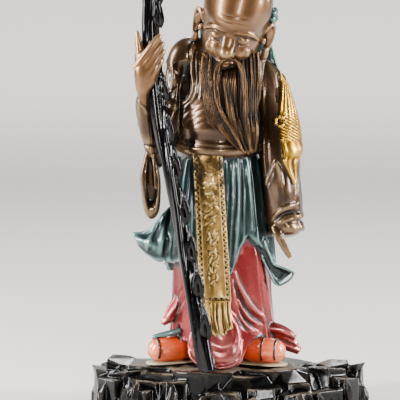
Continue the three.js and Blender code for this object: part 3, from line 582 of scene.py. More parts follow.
# Beard: broad locks hang from the jaw and gather towards one side, with hairs cut along each.
BEARD = [
    (306, 1, -20, 18, 9), (293, 1, -28, 26, 12), (280, 0, -35, 28, 12), (262, 1, -41, 27, 12),
    (245, 3, -44, 24, 11), (231, 9.5, -46, 15.5, 9), (221, 15.5, -47, 9, 7), (216, 18, -47, 3.6, 3),
]
BEARD_FOOT = 213
BEARD_LOCKS = 15
CHIN_LOCK = [
    (-2, -38, 293, 2.2, 2.6), (-2, -46.5, 278, 3.8, 3.4), (1, -54.5, 253, 4.4, 4), (9, -57, 226, 1.4, 2),
]
STRANDS_ACROSS = 14


def lock_rows(k):
    """A lock of the beard, from its root at the jaw to its tip, with every other one a little sunk."""
    out = 2 * k / (BEARD_LOCKS - 1) - 1
    root_x = 1 + 26 * out
    tip_x = 18.5 + 6.5 * out
    near = 44 - 10 * out * out - 1.1 * (k % 2)
    foot = BEARD_FOOT + 6 * abs(math.sin(5.8 * out))
    root_z = 295 if abs(out) < 0.3 else 303 + 9 * abs(out)
    return [
        (root_x, 6 - near, root_z, 1.8, 2),
        (root_x + 0.5 * out, -3 - near, 285, 3.2, 3.2),
        (0.8 * root_x + 0.1 * tip_x, -7 - near, 259, 3.2, 3.8),
        (0.45 * root_x + 0.55 * tip_x, -55.5 + 3 * abs(out), 234, 2.4, 3.6),
        (tip_x, -53.5 + 3 * abs(out), foot, 0.8, 1.2),
    ]


def whisker_rows(side):
    return [
        (side * 2.2, -45, 306, 0.8, 1.0),
        (side * 7.5, -44.5, 304, 1.7, 1.6),
        (side * 12.2, -46, 295, 2.4, 2.2),
        (0.5 + side * 14, -50.5, 280, 2.6, 2.6),
        (3 + side * 12.5, -55, 258, 2.4, 2.6),
        (10.5 + side * 7, -57.5, 236, 2.2, 2.4),
        (17.5 + side * 3.5, -57, 215, 0.8, 1),
    ]


def across_beard(points):
    """How far a point lies across the beard, from -1 to 1, on lines that run from the jaw to the tips."""
    x, _, z = points.T
    read = at_height(BEARD, z)
    return (x - read[:, 1]) / np.maximum(read[:, 3], 3)


def beard_relief(points):
    """Strands cut along the beard, deeper where it is broad."""
    across = across_beard(points)
    z = points[:, 2]
    wander = 0.5 * np.sin(z / 19 + 4 * across) + 0.3 * np.sin(z / 7 + 9 * across)
    cut = np.abs(np.sin(math.pi * STRANDS_ACROSS * across + wander))
    wide = np.clip((at_height(BEARD, z)[:, 3] - 6) / 14, 0, 1)
    return 0.9 * wide * (cut**0.7 - 0.7)


def beard_forms():
    return [
        stack(BEARD, 90, 90),
        *[limb(lock_rows(k), 40, 80, strands(5, 0.7, 3 * math.sin(2 * k))) for k in range(BEARD_LOCKS)],
        *[limb(whisker_rows(side), 30, 90, strands(5, 0.7, 3 * side)) for side in (-1, 1)],
        limb(CHIN_LOCK, 30, 60, strands(6, 0.8, 4)),
    ]


# Jacket: its body bulges over a rolled hem, with collars round the beard and folds over the belly.
WAIST = 216
TORSO = [
    (334, 0, 2, 8, 8), (328, 0, 2, 20, 15), (316, -3, 2, 36, 22), (302, -6, 1, 44, 28), (282, -9, -1, 45, 33),
    (258, -11, -1, 43, 38), (238, -12, -2, 43, 41), (225, -12, -2, 41.5, 39), (219, -12, -2, 43.5, 41.5),
    (213, -12, -2, 43.5, 41.5), (208, -12, -2, 40, 38),
]
# Folds of the robes: each one's line, half width, height and lean. A hollow has a height below zero.
COLLAR_FOLDS = [
    ([(-32, 328), (-36, 318), (-37.5, 306), (-37, 292), (-35.5, 282), (-36.5, 273), (-41, 265), (-48, 260)],
     2.1, 2.5, -0.6),
    ([(-31, 316), (-32, 300), (-31.5, 284), (-33, 272), (-38, 263), (-45, 256)], 1.3, 1.3, -0.5),
    ([(-28, 312), (-29, 296), (-28, 280), (-29, 266)], 1.1, 1.0, -0.5),
    ([(28, 308), (30, 290), (29, 270), (27, 248)], 2.2, 2.0, 0.6),
    ([(24, 300), (27, 284), (26, 262)], 1.3, 1.1, 0.5),
]
BELLY_FOLDS = [
    ([(-27, 263), (-35, 258), (-43, 252), (-50, 244)], 0.9, -0.35, 0),
    ([(-25, 257), (-33, 253), (-41, 247), (-48, 239)], 0.9, -0.35, 0),
    ([(-23, 251), (-31, 248), (-38, 243), (-44, 235)], 0.9, -0.35, 0),
    ([(-22, 245), (-29, 243), (-36, 239)], 1.0, -0.3, 0),
    ([(-50, 222), (-30, 219.5), (0, 218.5), (26, 219)], 1.3, -1.0, 0),
    ([(29, 244), (26, 234), (16, 226)], 1.5, 1.1, -0.6),
]
SHOULDER_FOLDS = [
    ([(-45, 303), (-44, 290), (-43.5, 276), (-46, 264)], 4.8, -5.4, 0),
    ([(-58.5, 296), (-59, 284), (-58.5, 268)], 3.6, -3.0, 0),
    ([(31, 296), (33, 280), (33, 262), (35, 240)], 2.4, 1.4, 0.4),
    ([(47.5, 292), (48.5, 278), (48.5, 262)], 1.6, -1.6, 0),
]
SLEEVE_FOLDS = [
    ([(36, 180), (41, 193), (46, 204)], 1.6, 1.7, 0.6),
    ([(46, 204), (51, 192), (53, 178)], 1.6, 1.6, 0.6),
    ([(38, 176), (43, 188), (46, 197)], 1.1, 0.9, 0.5),
    ([(34, 240), (35, 222), (36, 200), (38, 176)], 2.6, 1.6, 0.6),
    ([(46, 172), (55, 176), (65, 172)], 9.0, 1.0, 0),
    ([(41, 144), (46, 151.5), (53, 157.5), (61, 160.5), (69, 161)], 1.6, 1.6, 0.6),
    ([(45, 145), (53, 151), (62, 153.5), (70, 153)], 2.0, -3.8, 0),
    ([(43, 141), (52, 145), (62, 147), (71, 146)], 1.5, 1.3, 0.5),
]
LEFT_SLEEVE_FOLDS = [
    ([(-24, 250), (-18, 262), (-8, 270)], 2.4, 1.8, 0.5),
    ([(-22, 238), (-14, 248), (-2, 252)], 2.4, 1.8, 0.5),
    ([(-14, 300), (-18, 285), (-16, 268)], 2.6, 2.0, 0.5),
    ([(-2, 304), (-2, 286), (-6, 266)], 2.6, 2.0, 0.5),
]
RIGHT_SLEEVE_FOLDS = [
    ([(-12, 292), (-18, 262), (-20, 236)], 2.6, 2.0, 0.5),
    ([(2, 290), (6, 262), (4, 232), (-2, 206)], 3.0, 2.4, -0.5),
    ([(10, 280), (13, 250), (12, 216), (6, 186)], 3.0, 2.2, -0.5),
    ([(-26, 206), (-20, 188), (-22, 168)], 2.4, 1.8, 0.5),
    ([(-10, 210), (-4, 188), (-6, 164), (-12, 150)], 2.8, 2.2, 0.5),
    ([(8, 196), (8, 174), (2, 152)], 2.8, 2.2, 0.5),
    ([(-30, 150), (-14, 147), (6, 152), (12, 156)], 2.2, 2.8, -0.7),
    ([(-28, 138), (-12, 134), (6, 138)], 2.0, 2.0, -0.6),
]
FOREARM_FOLDS = [
    ([(-88, 266), (-89, 258), (-88, 248)], 1.2, 0.8, 0.5),
    ([(-81, 265), (-79, 257), (-79, 248)], 1.2, 0.8, 0.5),
    ([(-88, 262), (-84, 258), (-80, 252)], 1.1, 1.0, 0.5),
    ([(-86, 221), (-80, 219), (-73, 220.5)], 1.3, -2.2, 0),
]
BACK_FOLDS = [
    ([(-34, 304), (-26, 276), (-8, 248)], 3.2, 2.6, 0.5),
    ([(-42, 286), (-36, 256), (-18, 232)], 3.0, 2.4, 0.5),
    ([(30, 304), (24, 276), (8, 246)], 3.2, 2.6, -0.5),
    ([(36, 280), (30, 254), (14, 230)], 3.0, 2.4, -0.5),
    ([(-44, 262), (-38, 240), (-26, 224)], 2.6, 2.0, 0.5),
    ([(-8, 226), (-12, 240), (-10, 256)], 2.4, 1.8, 0.5),
]
BRONZE_FOLDS = (
    seen_from("front", COLLAR_FOLDS + BELLY_FOLDS + SHOULDER_FOLDS + SLEEVE_FOLDS)
    + seen_from("left", LEFT_SLEEVE_FOLDS)
    + seen_from("right", RIGHT_SLEEVE_FOLDS)
    + seen_from("front", FOREARM_FOLDS)
    + seen_from("back", BACK_FOLDS)
)


# The sleeve of the arm that holds the staff: it rises to the wrist, and its mouth hangs below the elbow.
STAFF_ARM = [
    (-20, 2, 312, 13, 14), (-40, 0, 306, 19, 19), (-50, -2, 286, 14, 17), (-53, -5, 264, 12, 15),
    (-58, -9, 244, 13, 15), (-65, -12, 226, 12, 13), (-71, -14, 210, 8, 9),
]
FOREARM = [
    (-77, -16, 208, 5, 7), (-79, -19, 221, 6.4, 9), (-82, -23, 238, 8, 9), (-84.5, -28, 252, 7.8, 8.5),
    (-85.5, -32, 261, 7.2, 7.4), (-85, -35, 269, 6, 6),
]
ARMPIT = [
    (264, -65, -9, 6, 6), (248, -67, -10, 13, 11), (228, -69, -12, 12, 12), (208, -71, -13, 8, 10),
    (196, -72, -13, 4, 6),
]
MOUTH_RIMS = [
    [
        (-80, -18, 219, 1.6, 4), (-83.5, -19, 206, 1.6, 7), (-86.5, -18, 189, 2.0, 10),
        (-84.6, -17, 170, 2.6, 10), (-81, -16, 154, 4, 9), (-77.3, -15, 146, 2.4, 5),
    ],
    [
        (-76, -18, 219, 1.6, 4), (-73.5, -18, 206, 1.6, 7), (-70.2, -17, 188, 2.0, 10),
        (-70.4, -16, 170, 2.6, 10), (-73.4, -15, 154, 4, 9), (-77.3, -15, 146, 2.4, 5),
    ],
]
MOUTH_LINING = [
    (217, -78, -12, 3.2, 5), (200, -78.5, -10, 6, 6), (182, -78.5, -9, 8.5, 7), (162, -78, -9, 8, 7),
    (150, -77.5, -11, 5, 5),
]
MOUTH_FOLDS = [
    [(-79.5, -21, 217, 0.9, 2), (-82, -22, 200, 1.1, 4), (-83, -22, 184, 1.2, 5), (-81.5, -20, 168, 0.8, 4)],
    [(-77, -21, 217, 0.9, 2), (-75.5, -22, 204, 1.1, 4), (-74, -22, 190, 1.2, 5), (-73.6, -20, 176, 0.8, 4)],
]
MOUTH_LOBE = ((-77.4, -16, 154), (6.8, 8.6, 9))


def elbow_folds(angle, share):
    return 0.9 * np.sin(7 * angle + 5 * share) * bump(share, 0.7, 0.25)


def staff_sleeve_forms():
    return [
        limb(STAFF_ARM, 90, 90, elbow_folds),
        limb(FOREARM, 60, 60, lambda angle, share: 0.25 * np.sin(5 * angle + 4 * share)),
        stack(ARMPIT, 60, 50, lambda angle, z: 0.8 * np.sin(9 * angle + z / 12)),
        stack(MOUTH_LINING, 60, 50),
        ball(*MOUTH_LOBE),
        *[limb(rows, 30, 70) for rows in MOUTH_RIMS + MOUTH_FOLDS],
    ]


# The sleeve of the lowered arm, with a folded cuff and the flap of cloth under it.
LOWERED = [
    (26, 4, 300, 10, 13), (36, 2, 288, 14, 16), (42, -1, 266, 17, 19), (47, -4, 243, 19.5, 21),
    (49.5, -6, 220, 20.5, 22.5), (50, -8, 192, 19.5, 22.5), (52.5, -9, 162, 19.5, 23),
    (54.2, -10, 144, 19, 22.5), (56, -10, 133, 16.5, 20),
]
LOWERED_BY_HEIGHT = [(z, x, y, wide, deep) for x, y, z, wide, deep in LOWERED]
CUFF = [
    (147, 56, -10, 15, 20), (141.5, 57, -10.5, 17, 22.5), (136, 57.3, -11, 17.2, 22.5),
    (131, 57, -11, 14.5, 19), (127, 56.5, -10.5, 8, 11),
]
FLAP = [
    (45, -27, 140, 4.6, 2.6), (50, -31, 129, 4.8, 2.6), (56, -31.5, 117, 4, 2.2), (60.5, -30, 108, 2.4, 1.6),
]


def lowered_sleeve_forms():
    return [
        limb(LOWERED, 120, 120, lambda angle, share: 0.5 * np.sin(6 * angle + 6 * share)),
        stack(CUFF, 110, 60, lambda angle, z: 0.3 * np.sin(5 * angle + z / 3)),
        limb(FLAP, 20, 30, strands(4, 0.9)),
    ]


# Right hand: the fingers cross in front of the staff, and the thumb stands up beside it.
PALM = [
    (-84, -33, 262, 5.4, 6), (-84.5, -38, 271, 6.0, 6), (-84.5, -42, 279, 8.4, 6.8),
    (-82.5, -44.5, 288, 11.4, 6.8), (-81.2, -45.5, 297, 12.4, 6.2), (-83.5, -45, 305, 9.8, 5.4),
    (-88, -44, 312, 5.2, 4.2),
]
THUMB = [
    (-87, -43, 292, 6.2, 5), (-87.3, -42, 303, 5.9, 5), (-88.2, -41, 314, 4.8, 4.6),
    (-89.8, -40, 325, 3.4, 3.8), (-91, -39, 334, 1.6, 2.2),
]
FINGERS = [
    ((-87.5, -46, 303.5), (-67.4, -46, 330.5), 4.6), ((-83.8, -47, 298.8), (-64.8, -45.5, 323.5), 4.5),
    ((-80, -47.5, 294), (-64, -45, 316), 4.4), ((-76.5, -47.5, 289.5), (-65.6, -44.5, 308), 4.1),
]
FINGER_SHAPE = [(0, 0, 0.98), (0.3, -1.2, 0.97), (0.6, -1.4, 0.9), (0.85, -0.6, 0.78), (1, 0, 0.45)]


def finger_rows(root, tip, size):
    root, tip = Vector(root), Vector(tip)
    low = root.lerp(tip, -0.25) + Vector((0, 3, 0))
    rows = [(*low, size, size)]
    for share, bulge, thin in FINGER_SHAPE:
        point = root.lerp(tip, share)
        rows.append((point.x, point.y + bulge, point.z, size * thin, size * thin))
    return rows


def hand_forms():
    fingers = [limb(finger_rows(*finger), 28, 50) for finger in FINGERS]
    return [limb(PALM, 40, 40), limb(THUMB, 28, 40), *fingers]


# Crane in gilt relief, laid out by angle round the lowered sleeve and by height. Its wing points up.
CRANE_OUTLINE = [
    (290, -0.32, 0.0), (283, -0.72, 0.16), (268, -1.05, 0.3), (254, -1.3, 0.36), (243, -1.42, 0.36),
    (229, -1.44, 0.3), (217, -1.42, 0.2), (209, -1.36, -0.1), (204, -1.36, -0.55), (192, -1.12, -0.66),
    (181, -0.9, -0.78),
]
WING_FOOT, BODY_TOP, TAIL_TOP = 249, 224, 207
HEAD_TURN, HEAD_HIGH = -1.42, 243.5
HEAD_RING = 4.4
HEAD_LOBES = 7


def crane_relief(u, z):
    """Long feathers down the wing, slanting barbs over the back, a smooth breast and two tail bars."""
    feathers = np.abs(np.sin(math.pi * (7 * u + 0.6 * np.sin(z / 30)))) ** 0.7
    on_wing = np.clip((z - WING_FOOT) / 12 + 0.5, 0, 1)
    barbs = np.abs(np.sin(math.pi * (z / 3.2 + 6.5 * u))) ** 0.7
    columns = 0.55 + 0.45 * np.abs(np.sin(math.pi * (2.6 * u + 0.25 * np.sin(z / 5)))) ** 0.5
    on_back = np.clip((z - BODY_TOP) / 4 + 0.5, 0, 1) * (1 - on_wing)
    on_tail = np.clip((TAIL_TOP - z) / 4 + 0.5, 0, 1)
    breast = 2.6 * bump(z, 214, 8) * np.sqrt(np.clip(1 - (2 * u - 1) ** 2, 0, 1))
    bars = 1.6 * np.abs(np.cos(math.pi * u)) ** 0.6
    body = (1 - on_back) * (1 - on_wing) * (1 - on_tail)
    return 1.5 * on_wing * feathers + 1.9 * on_back * barbs * columns + body * breast + on_tail * bars


def crane_point(u, v):
    z = CRANE_OUTLINE[0][0] + (CRANE_OUTLINE[-1][0] - CRANE_OUTLINE[0][0]) * v
    read = at_height(CRANE_OUTLINE, z)
    angle = read[..., 1] + (read[..., 2] - read[..., 1]) * u
    rounded = 1.3 * np.clip(1 - (2 * u - 1) ** 4, 0, 1) ** 0.5
    clear = 0.7 + 1.7 * np.clip((z - 236) / 40, 0, 1)
    return around(LOWERED_BY_HEIGHT, angle, z, clear + rounded + crane_relief(u, z))


def crane_forms():
    x, y, z = around(LOWERED_BY_HEIGHT, HEAD_TURN, HEAD_HIGH, 1.6)

    def on_ring(turn):
        return x + HEAD_RING * math.cos(turn), y, z + HEAD_RING * math.sin(turn)

    ring = thick([on_ring(turn) for turn in np.linspace(0, TURN, 25)], 1.1)
    forms = [sheet(crane_point, 90, 260, (-3.2, 2.6, 0)), limb(ring, 12, 60)]
    for k in range(HEAD_LOBES):
        lobe_x, lobe_y, lobe_z = on_ring(TURN * (k + 0.25 * math.sin(3 * k)) / HEAD_LOBES)
        forms.append(ball((lobe_x, lobe_y - 0.4, lobe_z), (2.2, 2.3, 2.0), 16))
    return forms


# Green robe, which shows below the jacket and ends in a cut and pointed hem with a flare at each side.
GREEN = [
    (WAIST, -12, -1, 39, 36), (186, -10, 0, 44, 38), (150, -9, 1, 50, 41),
    (112, -9, 1, 54, 43), (84, -9, 1, 56, 44),
]
HEM_CUT = [(-66, 101), (-44, 106), (-20, 98), (2, 92), (11, 117), (21, 132), (29, 124), (37, 115), (47, 98)]
LEFT_FLARE_TOP = [(-48, -2, 166), (-62, -7, 154), (-74, -12, 139), (-85, -11, 132), (-97, -5, 130.5)]
LEFT_FLARE_FOOT = [(-48, -8, 102), (-60, -14, 106), (-69, -15, 101), (-82, -11, 108), (-91, -6, 116)]
RIGHT_FLARE_TOP = [(34, -22, 124), (40, -22, 110), (44, -22, 101), (53, -22, 97), (65, -18, 92)]
RIGHT_FLARE_FOOT = [(30, -22, 112), (36, -22, 100), (42, -22, 88), (45, -23, 82), (50, -22, 79)]
LEFT_LINING = [
    (-77, -25, 27.5, 1.5, 2.5), (-70, -25, 29.5, 2.4, 3.6), (-60, -25, 31.5, 3, 4.2), (-48, -22, 34, 3, 4.2),
]
GREEN_FOLDS = [
    ([(17, 210), (19, 182), (21, 154), (23, 134)], 2.8, 4.0, 0.7),
    ([(26, 209), (30, 176), (34, 146), (37, 120)], 3.4, 2.6, 0.5),
    ([(13, 209), (14, 170), (14, 126)], 1.3, 1.4, 0.3),
    ([(8, 209), (9, 176), (8, 140), (5, 108)], 2.2, 2.8, 0.6),
    ([(3, 208), (3, 168), (1, 130), (-2, 102)], 1.9, 2.2, 0.5),
    ([(-2, 204), (-3, 160), (-6, 116)], 2.0, 2.0, 0.5),
    ([(22, 196), (25, 164), (27, 140)], 1.5, 1.2, 0.5),
    ([(-42, 206), (-47, 170), (-52, 138), (-56, 112)], 2.4, 2.4, -0.5),
    ([(-37, 204), (-40, 170), (-44, 138), (-46, 112)], 2.0, 2.0, -0.5),
    ([(-62, 150), (-66, 130), (-68, 108)], 2.4, 2.0, 0.5),
    ([(-70, 140), (-78, 126), (-82, 112)], 2.2, 1.6, 0.5),
]


def between(upper, lower, sway):
    """A sheet of cloth between its upper and its lower edge, given as lines from the body outwards."""
    def point(u, v):
        top, foot = along(upper, u), along(lower, u)
        face = top + (foot - top) * v[..., None]
        face[..., 1] += sway(u, v)
        return face
    return point


def waves(u, v):
    return 3 * np.sin(7 * v + 2 * u)


def trumpet(u, v):
    """The open end of a rolled fold: hollow between its two edges."""
    return 10 * np.clip(u, 0, 1) ** 1.2 * np.clip(1 - (2 * v - 1) ** 4, 0, 1)


def green_hem(angle):
    x = -9 + 55 * np.cos(angle)
    at, height = np.array(HEM_CUT, float).T
    front = np.interp(x, at, height)
    return np.where(np.sin(angle) > 0, 94 + 4 * np.sin(7 * angle + 0.8), front)


def green_forms():
    flare_end = [RIGHT_FLARE_TOP[-1], (60, -18, 84), RIGHT_FLARE_FOOT[-1]]
    return [
        stack(GREEN, 300, 90, calm_front(pleats(15, 4.4, WAIST, 100, 0.1)), green_hem),
        sheet(between(LEFT_FLARE_TOP, LEFT_FLARE_FOOT, waves), 50, 50, (0, 4.4, 0)),
        sheet(between(RIGHT_FLARE_TOP, RIGHT_FLARE_FOOT, trumpet), 50, 50, (0, 4, 0)),
        limb(LEFT_LINING, 30, 30, strands(3, 0.7, 2)),
        limb(thick(RIGHT_FLARE_TOP, 1.5), 12, 40),
        limb(thick(RIGHT_FLARE_FOOT, 1.4), 12, 40),
        limb(thick(flare_end, 1.5), 12, 30),
    ]


# Red underskirt: it reaches the ground in a rounded panel between the feet, and is lifted over the shoes.
RED = [
    (140, -8, 0, 44, 37), (110, -8, 0, 47, 38), (70, -7, 0, 49, 40), (35, -6, 0, 52, 41), (12, -5, 0, 55, 43),
    (0, -5, 0, 56, 44),
]
PANEL = [
    (78, -14, -34, 10, 7), (50, -14, -38, 20, 10), (26, -14.5, -44, 26.5, 11), (9, -13, -47, 24, 11),
    (0.6, -11, -47, 16, 8),
]
PANEL_LIP = [
    (-40, -44, 26), (-38, -51, 12), (-26, -56, 3.4), (-8, -57, 1.8), (5, -54, 5), (11, -50, 14),
    (12, -45, 28),
]
HEM_FLARES = [
    [
        (32, -8, 36, 6, 7), (42, -11, 35, 6.5, 7.5), (51, -12, 33, 6, 6.5), (60, -13, 29, 5, 4.4),
        (66, -12, 25, 3.4, 2.6),
    ],
    [
        (32, -7, 31, 7, 6), (43, -9.5, 29, 7.2, 6), (53, -10.5, 26.5, 6, 5.4), (62, -11, 22, 4.4, 4),
        (68, -10.5, 18, 3, 3),
    ],
    [
        (32, -5, 25, 8, 8), (44, -7, 23, 8.4, 8.4), (54, -8, 20, 7, 7), (65, -9, 15, 5.6, 4.4),
        (71, -9, 11, 4, 2.6),
    ],
    [
        (-45, -8, 77, 4, 5), (-50, -10, 64, 6, 7), (-55, -12, 54, 7, 7.5), (-60.5, -15, 46, 5.6, 6),
        (-67, -18, 40, 2.4, 3),
    ],
]
RED_FOLDS = [
    ([(1, 93), (6, 74), (13, 59), (22, 47), (32, 40)], 1.9, 2.6, 0.7),
    ([(4, 98), (10, 82), (18, 68), (27, 55), (36, 48)], 1.9, 2.6, 0.7),
    ([(4, 76), (7.5, 62), (12, 50), (19.5, 39), (27, 34)], 1.7, 2.2, 0.7),
    ([(5, 84), (12, 66), (22, 52), (34, 43)], 2.6, -2.4, 0),
    ([(6, 62), (10, 49), (15, 40), (21, 34)], 2.0, -2.0, 0),
    ([(6, 73), (10, 58), (17, 46), (27, 39)], 2.2, -2.2, 0),
    ([(26, 118), (32, 96), (37, 72), (43, 52)], 4.5, 2.0, 0.3),
    ([(38, 112), (41, 90), (42, 68), (44, 52)], 2.0, 1.2, 0.5),
    ([(-46, 76), (-51, 62), (-57, 52), (-64, 45)], 1.3, 1.3, 0.6),
    ([(-43, 66), (-48, 55), (-54, 47), (-60, 42)], 1.3, 1.3, 0.6),
    ([(50, 37), (58, 33), (66, 27)], 1.6, 1.3, 0.6),
    ([(48, 22), (58, 18), (70, 12)], 1.6, 1.3, 0.6),
    ([(-31, 60), (-33, 40), (-34, 18)], 2.4, 1.4, -0.4),
    ([(6, 46), (9, 30), (6, 12)], 3.0, 1.6, -0.4),
    ([(-22, 30), (-8, 22), (3, 26)], 5.0, -1.6, 0),
]


def red_hem(angle):
    x = -5 + 56 * np.cos(angle)
    over_left = 24 * np.exp(-(((x + 48) / 15) ** 4))
    over_right = 26 * np.exp(-(((x - 34) / 19) ** 4))
    return np.where(np.sin(angle) > 0.1, 0, over_left + over_right)


def red_forms():
    return [
        stack(RED, 260, 110, calm_front(pleats(13, 4.4, 140, 0, 0.3)), red_hem),
        stack(PANEL, 80, 70),
        limb(thick(PANEL_LIP, 1.7), 14, 60),
        *[limb(rows, 40, 40, lambda angle, share: 0.8 * np.sin(5 * angle) * share) for rows in HEM_FLARES],
    ]


# Shoes, turned out to both sides, each with a sole, a rounded toe and raised bands.
SHOE_LENGTH = 56
SHOE_HEIGHT = 26
SOLE = 4
LIFT = SOLE + SHOE_HEIGHT * 0.43
SHOES = [((-80, -28), (-28, -8), (0.86,)), ((55, -38), (6, -20), (0.6, 0.85))]
SHOE_SHAPE = [
    (0.1, 8, 8), (0.35, 11, 12), (0.62, 13, 13), (0.8, 12.6, 12.4), (0.91, 10.6, 10.2), (0.98, 7, 6.6),
    (1.01, 3, 3),
]
SOLE_SHAPE = [(-0.05, 4), (0, 8), (0.35, 11), (0.7, 14), (0.92, 12), (1.03, 5)]


def from_heel(toe, heel, share):
    return heel[0] + (toe[0] - heel[0]) * share, heel[1] + (toe[1] - heel[1]) * share


def shoe_rows(toe, heel):
    return [(*from_heel(toe, heel, share), LIFT, wide, high) for share, wide, high in SHOE_SHAPE]


def sole_form(toe, heel):
    rows = [(*from_heel(toe, heel, share), SOLE / 2, SOLE / 2, wide) for share, wide in SOLE_SHAPE]
    return limb(rows, 40, 50, front=(heel[1] - toe[1], toe[0] - heel[0], 0))


def band_form(toe, heel, share):
    dx, dy = toe[0] - heel[0], toe[1] - heel[1]
    shares = [row[0] for row in SHOE_SHAPE]
    at = np.interp(share, shares, np.linspace(0, 1, len(shares)))
    x, y, _, wide, high = along(shoe_rows(toe, heel), at)
    arch = []
    for turn in np.linspace(-2.3, 2.3, 17):
        out, up = math.sin(turn), math.cos(turn)
        place = (x - dy / SHOE_LENGTH * wide * out, y + dx / SHOE_LENGTH * wide * out, LIFT + high * up)
        arch.append((*place, 1.5, 1.3))
    return limb(arch, 12, 60, front=(dx, dy, 0))


# Gilt sash: a long flat end with a raised zigzag edge and sprays of leaves, and a fringe of cords.
SASH_TOP = 211
SASH_FOOT = 66
FRINGE_FOOT = 33
SASH_LONG = SASH_TOP - SASH_FOOT
SASH_WIDE = 30
SASH_PROUD = 5
EDGE_WIDE = 4.6
SPRAYS, SPRAY_LEAVES = 6, 7
LEAF_LONG, LEAF_WIDE = 3.2, 1.15
CORDS = 17
CORD_BACKING = [(SASH_FOOT + 2, -14, -41, 15, 3), (FRINGE_FOOT + 12, -13.4, -46, 14, 3)]


def sash_point(u, v):
    """A point on the sash, which lies on the front of the green robe."""
    z = SASH_TOP + (SASH_FOOT - SASH_TOP) * v
    x = -36 + 7 * v + u * (29 + 2 * v)
    read = at_height(GREEN, z)
    reach = np.sqrt(np.maximum(0.06, 1 - ((x - read[..., 1]) / read[..., 3]) ** 2))
    return np.stack((x, read[..., 2] - read[..., 4] * reach - SASH_PROUD, z), -1)


def zigzag(where, across):
    """A raised line that runs to and fro across a band."""
    return bump(np.abs((where / 5.4) % 1 - 0.5) * 2, across, 0.3)


def sash_relief(u, v):
    """How far the carving of the sash stands up, by its place across and along."""
    x = (u - 0.5) * SASH_WIDE
    y = v * SASH_LONG
    inner = SASH_WIDE / 2 - EDGE_WIDE
    from_side = np.abs(x) - inner
    from_foot = y - SASH_LONG + EDGE_WIDE
    border = np.maximum(from_side, from_foot)
    side_line = zigzag(y + 2.7 * (x > 0), np.clip(from_side / EDGE_WIDE, 0, 1))
    foot_line = zigzag(x, np.clip(from_foot / EDGE_WIDE, 0, 1))
    line = np.where(from_side > 0, side_line, foot_line)
    height = np.where(border > 0, -1.0 + 1.2 * line, 0.0)
    height = height + 0.7 * bump(border, -0.2, 0.6) + 1.2 * bump(border, EDGE_WIDE, 0.8)
    field = 0.5 * bump(np.abs(x) / inner, 0, 0.8)
    leaves = np.stack([leaf(x, y, k) for k in range(SPRAYS * SPRAY_LEAVES)])
    raised, sunk = leaves.max(axis=0), leaves.min(axis=0)
    return height + (field + np.where(raised > 0, raised, sunk)) * (border < -0.5)


def leaf(x, y, k):
    """One bent leaf of a spray, in a groove of its own. The sprays follow one another down the field."""
    spray, number = divmod(k, SPRAY_LEAVES)
    bearing = TURN * (number + 0.3 * math.sin(4 * k)) / SPRAY_LEAVES + 0.7 * spray
    middle_x = 1.5 * math.sin(2.3 * spray) + 4.6 * math.cos(bearing)
    middle_y = 24 + 19 * spray + 5.6 * math.sin(bearing)
    turn = bearing + 0.9 * math.sin(1.9 * k)
    long_way = (x - middle_x) * math.sin(turn) + (y - middle_y) * math.cos(turn)
    short_way = (x - middle_x) * math.cos(turn) - (y - middle_y) * math.sin(turn) + 0.1 * long_way**2
    inside = 1 - (long_way / (LEAF_LONG + 0.8 * math.sin(3 * k))) ** 2 - (short_way / LEAF_WIDE) ** 2
    return np.where(inside > 0, 0.55 * np.sqrt(np.clip(inside, 0, 1)), -0.55 * bump(inside, -0.7, 0.6))


def carved_sash_point(u, v):
    point = sash_point(u, v)
    point[..., 1] -= sash_relief(u, v)
    return point


def fringe_forms():
    forms = []
    for k in range(CORDS):
        u = 0.04 + 0.92 * k / (CORDS - 1)
        x, y, z = sash_point(u, 1.0)
        foot = FRINGE_FOOT + 11 * (2 * u - 1) ** 2 + 1.5 * math.sin(5 * k)
        sway = 0.8 * math.sin(2.2 * k)
        rows = [
            (x, y + 1, z + 2, 1, 1.4),
            (x + sway, y - 3, (z + foot) / 2, 1.0, 1.5),
            (x + 3 - (2 * u - 1) ** 3, y - 8, foot, 0.8, 1.0),
        ]
        forms.append(limb(rows, 12, 24))
    return [*forms, stack(CORD_BACKING, 40, 16)]


# Staff: vines wind up it, drops of root stand out from one side, and it ends in a crook.
STAFF_RADIUS = 8
STAFF_PATH = [
    (-21, -72, 0), (-26, -70, 24), (-34, -65, 71), (-42, -60, 110), (-49, -54, 150), (-59, -48, 198),
    (-67, -42, 238), (-73, -37, 281), (-76, -34, 308), (-78, -31, 336), (-79, -30, 366), (-79, -29, 400),
    (-77, -28, 428),
]
VINES = [(0.0, 0.52), (0.45, 0.4)]
STAFF_VOXEL, STAFF_TRIANGLES, STAFF_ROUNDS = 0.6, 50000, 4
KNOTS = [0.13, 0.205, 0.28, 0.355, 0.43, 0.505, 0.58, 0.8, 0.86, 0.92]
CROOK = [
    (-78, -29, 418, 5.5, 5.5), (-75, -29, 431, 5.3, 5.3), (-67, -30, 438.6, 5, 5), (-59, -31, 434, 4.2, 4.2),
    (-60, -31, 424, 3.2, 3.2), (-66, -31, 420, 1.6, 1.6),
]


def staff_forms():
    core = thick(STAFF_PATH, STAFF_RADIUS * 0.84)
    forms = [
        limb(core, 72, 260, lambda angle, share: 1.1 * np.sin(2 * angle + 8 * share)),
        limb(CROOK, 36, 50, strands(5, 1.2, 3)),
    ]
    for start, size in VINES:
        offset = STAFF_RADIUS * (1.18 - size)
        path = []
        for share in np.linspace(0.01, 0.98, 60):
            x, y, z = along(STAFF_PATH, share)
            turn = (share * 0.8 + start) * TURN
            path.append((x + offset * math.cos(turn), y + offset * math.sin(turn), z))
        forms.append(limb(thick(path, STAFF_RADIUS * size), 20, 260))
    for share in KNOTS:
        forms += knot_forms(share)
    return forms


